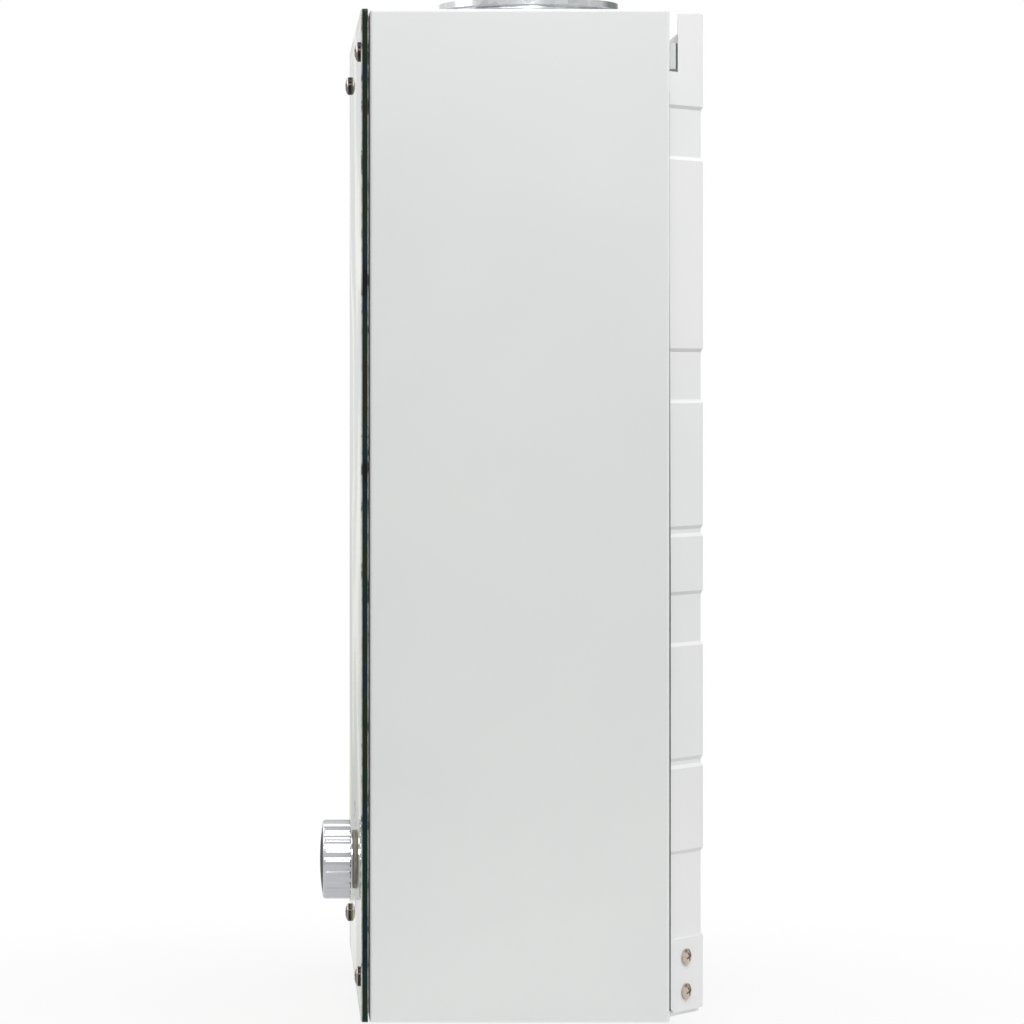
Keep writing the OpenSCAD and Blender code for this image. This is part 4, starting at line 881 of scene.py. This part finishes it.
shape = bmesh.new()
star = [[], []]
for quarter in range(4):
    turn = RECESS_TURN + quarter * math.pi / 2
    for along, beside in RECESS:
        spoke = Vector((along * math.cos(turn) - beside * math.sin(turn), 0,
                        along * math.sin(turn) + beside * math.cos(turn)))
        star[0].append(shape.verts.new(FRONT * (HEAD_H - RECESS_DEPTH) + spoke))
        star[1].append(shape.verts.new(FRONT * (HEAD_H + RECESS_DEPTH) + spoke))
join_rings(shape, star)
tool = as_object(shape, "recess_tool")
print("head:", round(2000 * HEAD_R, 1), "mm across,", round(1000 * HEAD_H, 1), "mm high")

# %% Nickel plate with a painted glint and painted shade
# white for the glint painted on the shoulder, black for the shade painted on rim and crown, by height share
GLINT_AND_SHADE_BAND = [(0.38, "#000000"), (0.50, "#FFFFFF"), (0.62, "#FFFFFF"), (0.80, "#000000")]
# nickel: a painted glint as a bright ring on each shoulder, between a rim and a crown darkened as painted
# shade
nickel = metal("nickel_plate_painted_glint", "#B3A8A1", "#978B84", roughness=0.08, grain=0.9 * MM, bump=0.02)
tree = nickel.node_tree
base = tree.nodes["Principled BSDF"].inputs["Base Color"]
bright = base.links[0].from_socket
place = add(tree, "ShaderNodeTexCoord").outputs["Object"]
depth = add(tree, "ShaderNodeSeparateXYZ", {0: place})
share = add(tree, "ShaderNodeMapRange", {"Value": depth.outputs["Y"], "From Min": pane_low.y,
                                         "From Max": screw_low.y})
painted_glint = add(tree, "ShaderNodeValToRGB", {"Fac": share.outputs["Result"]})
set_ramp(painted_glint, GLINT_AND_SHADE_BAND)
# the dark colour is painted shade on the rim and crown; the metal's own tone is the painted glint on the
# shoulder
painted_glint_and_shade = add(tree, "ShaderNodeMix", {0: painted_glint.outputs["Color"], 6: linear("#342C2B"), 7: bright},
              data_type="RGBA")
tree.links.new(painted_glint_and_shade.outputs[2], base)
print("rubbed at", [round(1000 * HEAD_H * rise, 1) for rise, code in GLINT_AND_SHADE_BAND], "mm above the glass")

# %% Four glass screws
screws = {"Blank": blank, "Tool": tool}
tree, size = start_tree("glass_screws", screws)
head = add(tree, "GeometryNodeObjectInfo", {"Object": size["Blank"]})
star = add(tree, "GeometryNodeObjectInfo", {"Object": size["Tool"]})
pressed = add(tree, "GeometryNodeMeshBoolean", {"Mesh 1": head.outputs["Geometry"],
                                                "Mesh 2": star.outputs["Geometry"]}, operation="DIFFERENCE")
laid = add(tree, "GeometryNodeInstanceOnPoints", {"Points": size["Geometry"],
                                                  "Instance": pressed.outputs[0]})
end_tree(tree, laid.outputs[0], nickel)
corners = [(x, pane_low.y, z) for x in (screw_low.x + HEAD_R, screw_high.x - HEAD_R)
           for z in (screw_low.z + HEAD_R, screw_high.z - HEAD_R)]
heads = grow("pan_head_screws", tree, screws, corners, "heater")
soften(heads.data)
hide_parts("glass_screws")
bpy.data.objects.remove(blank)
bpy.data.objects.remove(tool)

# %% [markdown]
# ## Dial marks
# Round the knob runs a printed scale: small round marks that grow from low to high. They are white
# ceramic ink, about 0.1 mm thick. An arc gives the places, a thin disc is put on each, and its size
# follows its number along the arc.

# %% Dial marks
marks = {"Count": 13, "Radius": 33 * MM, "First": math.radians(225), "Sweep": math.radians(-270),
         "Small": 1.6 * MM, "Large": 4.2 * MM, "Thickness": 0.1 * MM,
         "Centre": (knob_axis.x, pane_low.y, knob_axis.z)}
tree, size = start_tree("dial_marks", marks)
arc = add(tree, "GeometryNodeCurveArc", {"Resolution": 64, "Radius": size["Radius"],
                                         "Start Angle": size["First"], "Sweep Angle": size["Sweep"]})
spots = add(tree, "GeometryNodeCurveToPoints", {"Curve": arc.outputs[0], "Count": size["Count"]})
number = add(tree, "GeometryNodeInputIndex")
width = add(tree, "ShaderNodeMapRange", {"Value": number.outputs[0], "From Max": size["Count"],
                                         "To Min": size["Small"], "To Max": size["Large"]})
spread = add(tree, "ShaderNodeCombineXYZ", {0: width.outputs[0], 1: width.outputs[0], 2: size["Thickness"]})
disc = add(tree, "GeometryNodeMeshCylinder", {"Vertices": 24, "Radius": 0.5, "Depth": 2.0})
laid = add(tree, "GeometryNodeInstanceOnPoints", {"Points": spots.outputs[0], "Instance": disc.outputs[0],
                                                  "Scale": spread.outputs[0]})
turned = add(tree, "GeometryNodeTransform", {"Geometry": laid.outputs[0], "Translation": size["Centre"],
                                             "Rotation": (math.pi / 2, 0, 0)})
end_tree(tree, turned.outputs[0], ink)
grow("dial_marks", tree, marks, [], "heater")

# %% [markdown]
# ## Grip ribs
# A thumb opens the battery lid from below, so the lid carries a row of short rounded ribs near its free
# end. A line of points carries the same small bar, half sunk in the lid. The ribs ride on the lid's
# body.

# %% Grip ribs
RIBS_FROM_END = 22 * MM
lid_low, lid_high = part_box("battery_lid")
ribs = {"Count": 6, "Pitch": (3.2 * MM, 0.0, 0.0), "Length": 22 * MM, "Radius": 0.7 * MM,
        "First": (lid_high.x - RIBS_FROM_END, (lid_low.y + lid_high.y) / 2, lid_low.z)}
tree, size = start_tree("grip_ribs", ribs)
half = add(tree, "ShaderNodeMath", {0: size["Length"], 1: 0.5}, operation="MULTIPLY")
ahead = add(tree, "ShaderNodeCombineXYZ", {1: half.outputs[0]})
behind = add(tree, "ShaderNodeVectorMath", {0: ahead.outputs[0], "Scale": -1.0}, operation="SCALE")
spine = add(tree, "GeometryNodeCurvePrimitiveLine", {"Start": behind.outputs[0], "End": ahead.outputs[0]})
round_bar = add(tree, "GeometryNodeCurvePrimitiveCircle", {"Resolution": 12, "Radius": size["Radius"]})
bar = add(tree, "GeometryNodeCurveToMesh", {"Curve": spine.outputs[0],
                                            "Profile Curve": round_bar.outputs[0], "Fill Caps": True})
row = add(tree, "GeometryNodeMeshLine", {"Count": size["Count"], "Start Location": size["First"],
                                         "Offset": size["Pitch"]})
laid = add(tree, "GeometryNodeInstanceOnPoints", {"Points": row.outputs[0], "Instance": bar.outputs[0]})
end_tree(tree, laid.outputs[0], black_abs)
grow("grip_ribs", tree, ribs, [], "battery_lid")

# %% [markdown]
# ## Threaded pipe stubs
# The gas and water pipes join the heater on three brass stubs with half-inch pipe thread: 14 turns to
# the inch, so a pitch of 1.814 mm, and 1.162 mm deep. The CAD fittings are plain at the crest of the
# thread, so here each is turned again down to the root of the thread. A spiral with a blunt ridge then
# gives the thread, once, and is put on all three stubs.

# %% Turned fittings
PITCH = 1.814 * MM
DEPTH = 1.162 * MM
STUB_R = 10.4775 * MM
STUB_L = 9.8 * MM
ROOT_R = STUB_R - DEPTH
CHAMFER = 0.6 * MM
WATERWAY_R = 6.5 * MM
WATERWAY_L = 23 * MM
NECK_R = 10 * MM
NUT_FLATS = 30 * MM
NUT_R = 17.4 * MM
NUT_END_R = 15.4 * MM
NUT_FOOT = 16 * MM
NUT_TOP = 24 * MM
NUT_BEVEL = 1 * MM
FITTING_STEPS = 72


def hexagon(across, limit):
    def radius(angle):
        lean = (angle + math.pi / 6) % (math.pi / 3) - math.pi / 6
        return min(across / 2 / math.cos(lean), limit)
    return radius


nut = hexagon(NUT_FLATS, NUT_R)
nut_end = hexagon(NUT_FLATS, NUT_END_R)
shape = bmesh.new()
stub_feet = []
for name in ("cold_inlet", "hot_outlet", "gas_inlet"):
    low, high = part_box(name)
    centre = (low + high) / 2
    foot = Vector((centre.x, centre.y, low.z))
    outline = [(WATERWAY_L, WATERWAY_R), (CHAMFER, WATERWAY_R), (0, WATERWAY_R + CHAMFER),
               (0, ROOT_R - CHAMFER), (CHAMFER, ROOT_R), (STUB_L, ROOT_R), (STUB_L, NECK_R),
               (NUT_FOOT, NECK_R), (NUT_FOOT, nut_end), (NUT_FOOT + NUT_BEVEL, nut),
               (NUT_TOP - NUT_BEVEL, nut), (NUT_TOP, nut_end), (NUT_TOP, NECK_R), (high.z - low.z, NECK_R)]
    turn_solid(shape, outline, foot, UP, FITTING_STEPS)
    stub_feet.append(tuple(foot))
keep_solid(shape, "turned_fittings", brass, "heater", "brass", "cold_inlet", "hot_outlet", "gas_inlet")

# %% Pipe threads
# the ridge's foot is sunk this far into the stub
RIDGE_SINK = 0.06 * MM
thread = {"Pitch": PITCH, "Length": STUB_L - 2 * PITCH, "Middle": ROOT_R + DEPTH / 2 - RIDGE_SINK,
          "Depth": DEPTH, "Foot": PITCH * 0.96, "Crest": PITCH * 0.2, "Rise": PITCH}
tree, size = start_tree("pipe_thread", thread)
turns = add(tree, "ShaderNodeMath", {0: size["Length"], 1: size["Pitch"]}, operation="DIVIDE")
helix = add(tree, "GeometryNodeCurveSpiral", {"Resolution": 48, "Rotations": turns.outputs[0],
                                              "Start Radius": size["Middle"], "End Radius": size["Middle"],
                                              "Height": size["Length"]})
upright = add(tree, "GeometryNodeSetCurveNormal", {"Curve": helix.outputs[0]}, mode="Z_UP")
ridge = add(tree, "GeometryNodeCurvePrimitiveQuadrilateral",
            {"Height": size["Depth"], "Bottom Width": size["Foot"], "Top Width": size["Crest"],
             "Offset": 0.0}, mode="TRAPEZOID")
outward = add(tree, "GeometryNodeTransform", {"Geometry": ridge.outputs[0],
                                              "Rotation": (0, 0, -math.pi / 2)})
coil = add(tree, "GeometryNodeCurveToMesh", {"Curve": upright.outputs[0],
                                             "Profile Curve": outward.outputs[0], "Fill Caps": True})
lift = add(tree, "ShaderNodeCombineXYZ", {2: size["Rise"]})
lifted = add(tree, "GeometryNodeTransform", {"Geometry": coil.outputs[0], "Translation": lift.outputs[0]})
laid = add(tree, "GeometryNodeInstanceOnPoints", {"Points": size["Geometry"],
                                                  "Instance": lifted.outputs[0]})
end_tree(tree, laid.outputs[0], brass)
threads = grow("pipe_threads", tree, thread, stub_feet, "heater")
nearest_stub = [min(math.dist(v.co.xy, foot[:2]) for foot in stub_feet) for v in threads.data.vertices]
print("thread crest radius in mm:", round(1000 * max(nearest_stub), 2), "of", 1000 * STUB_R)
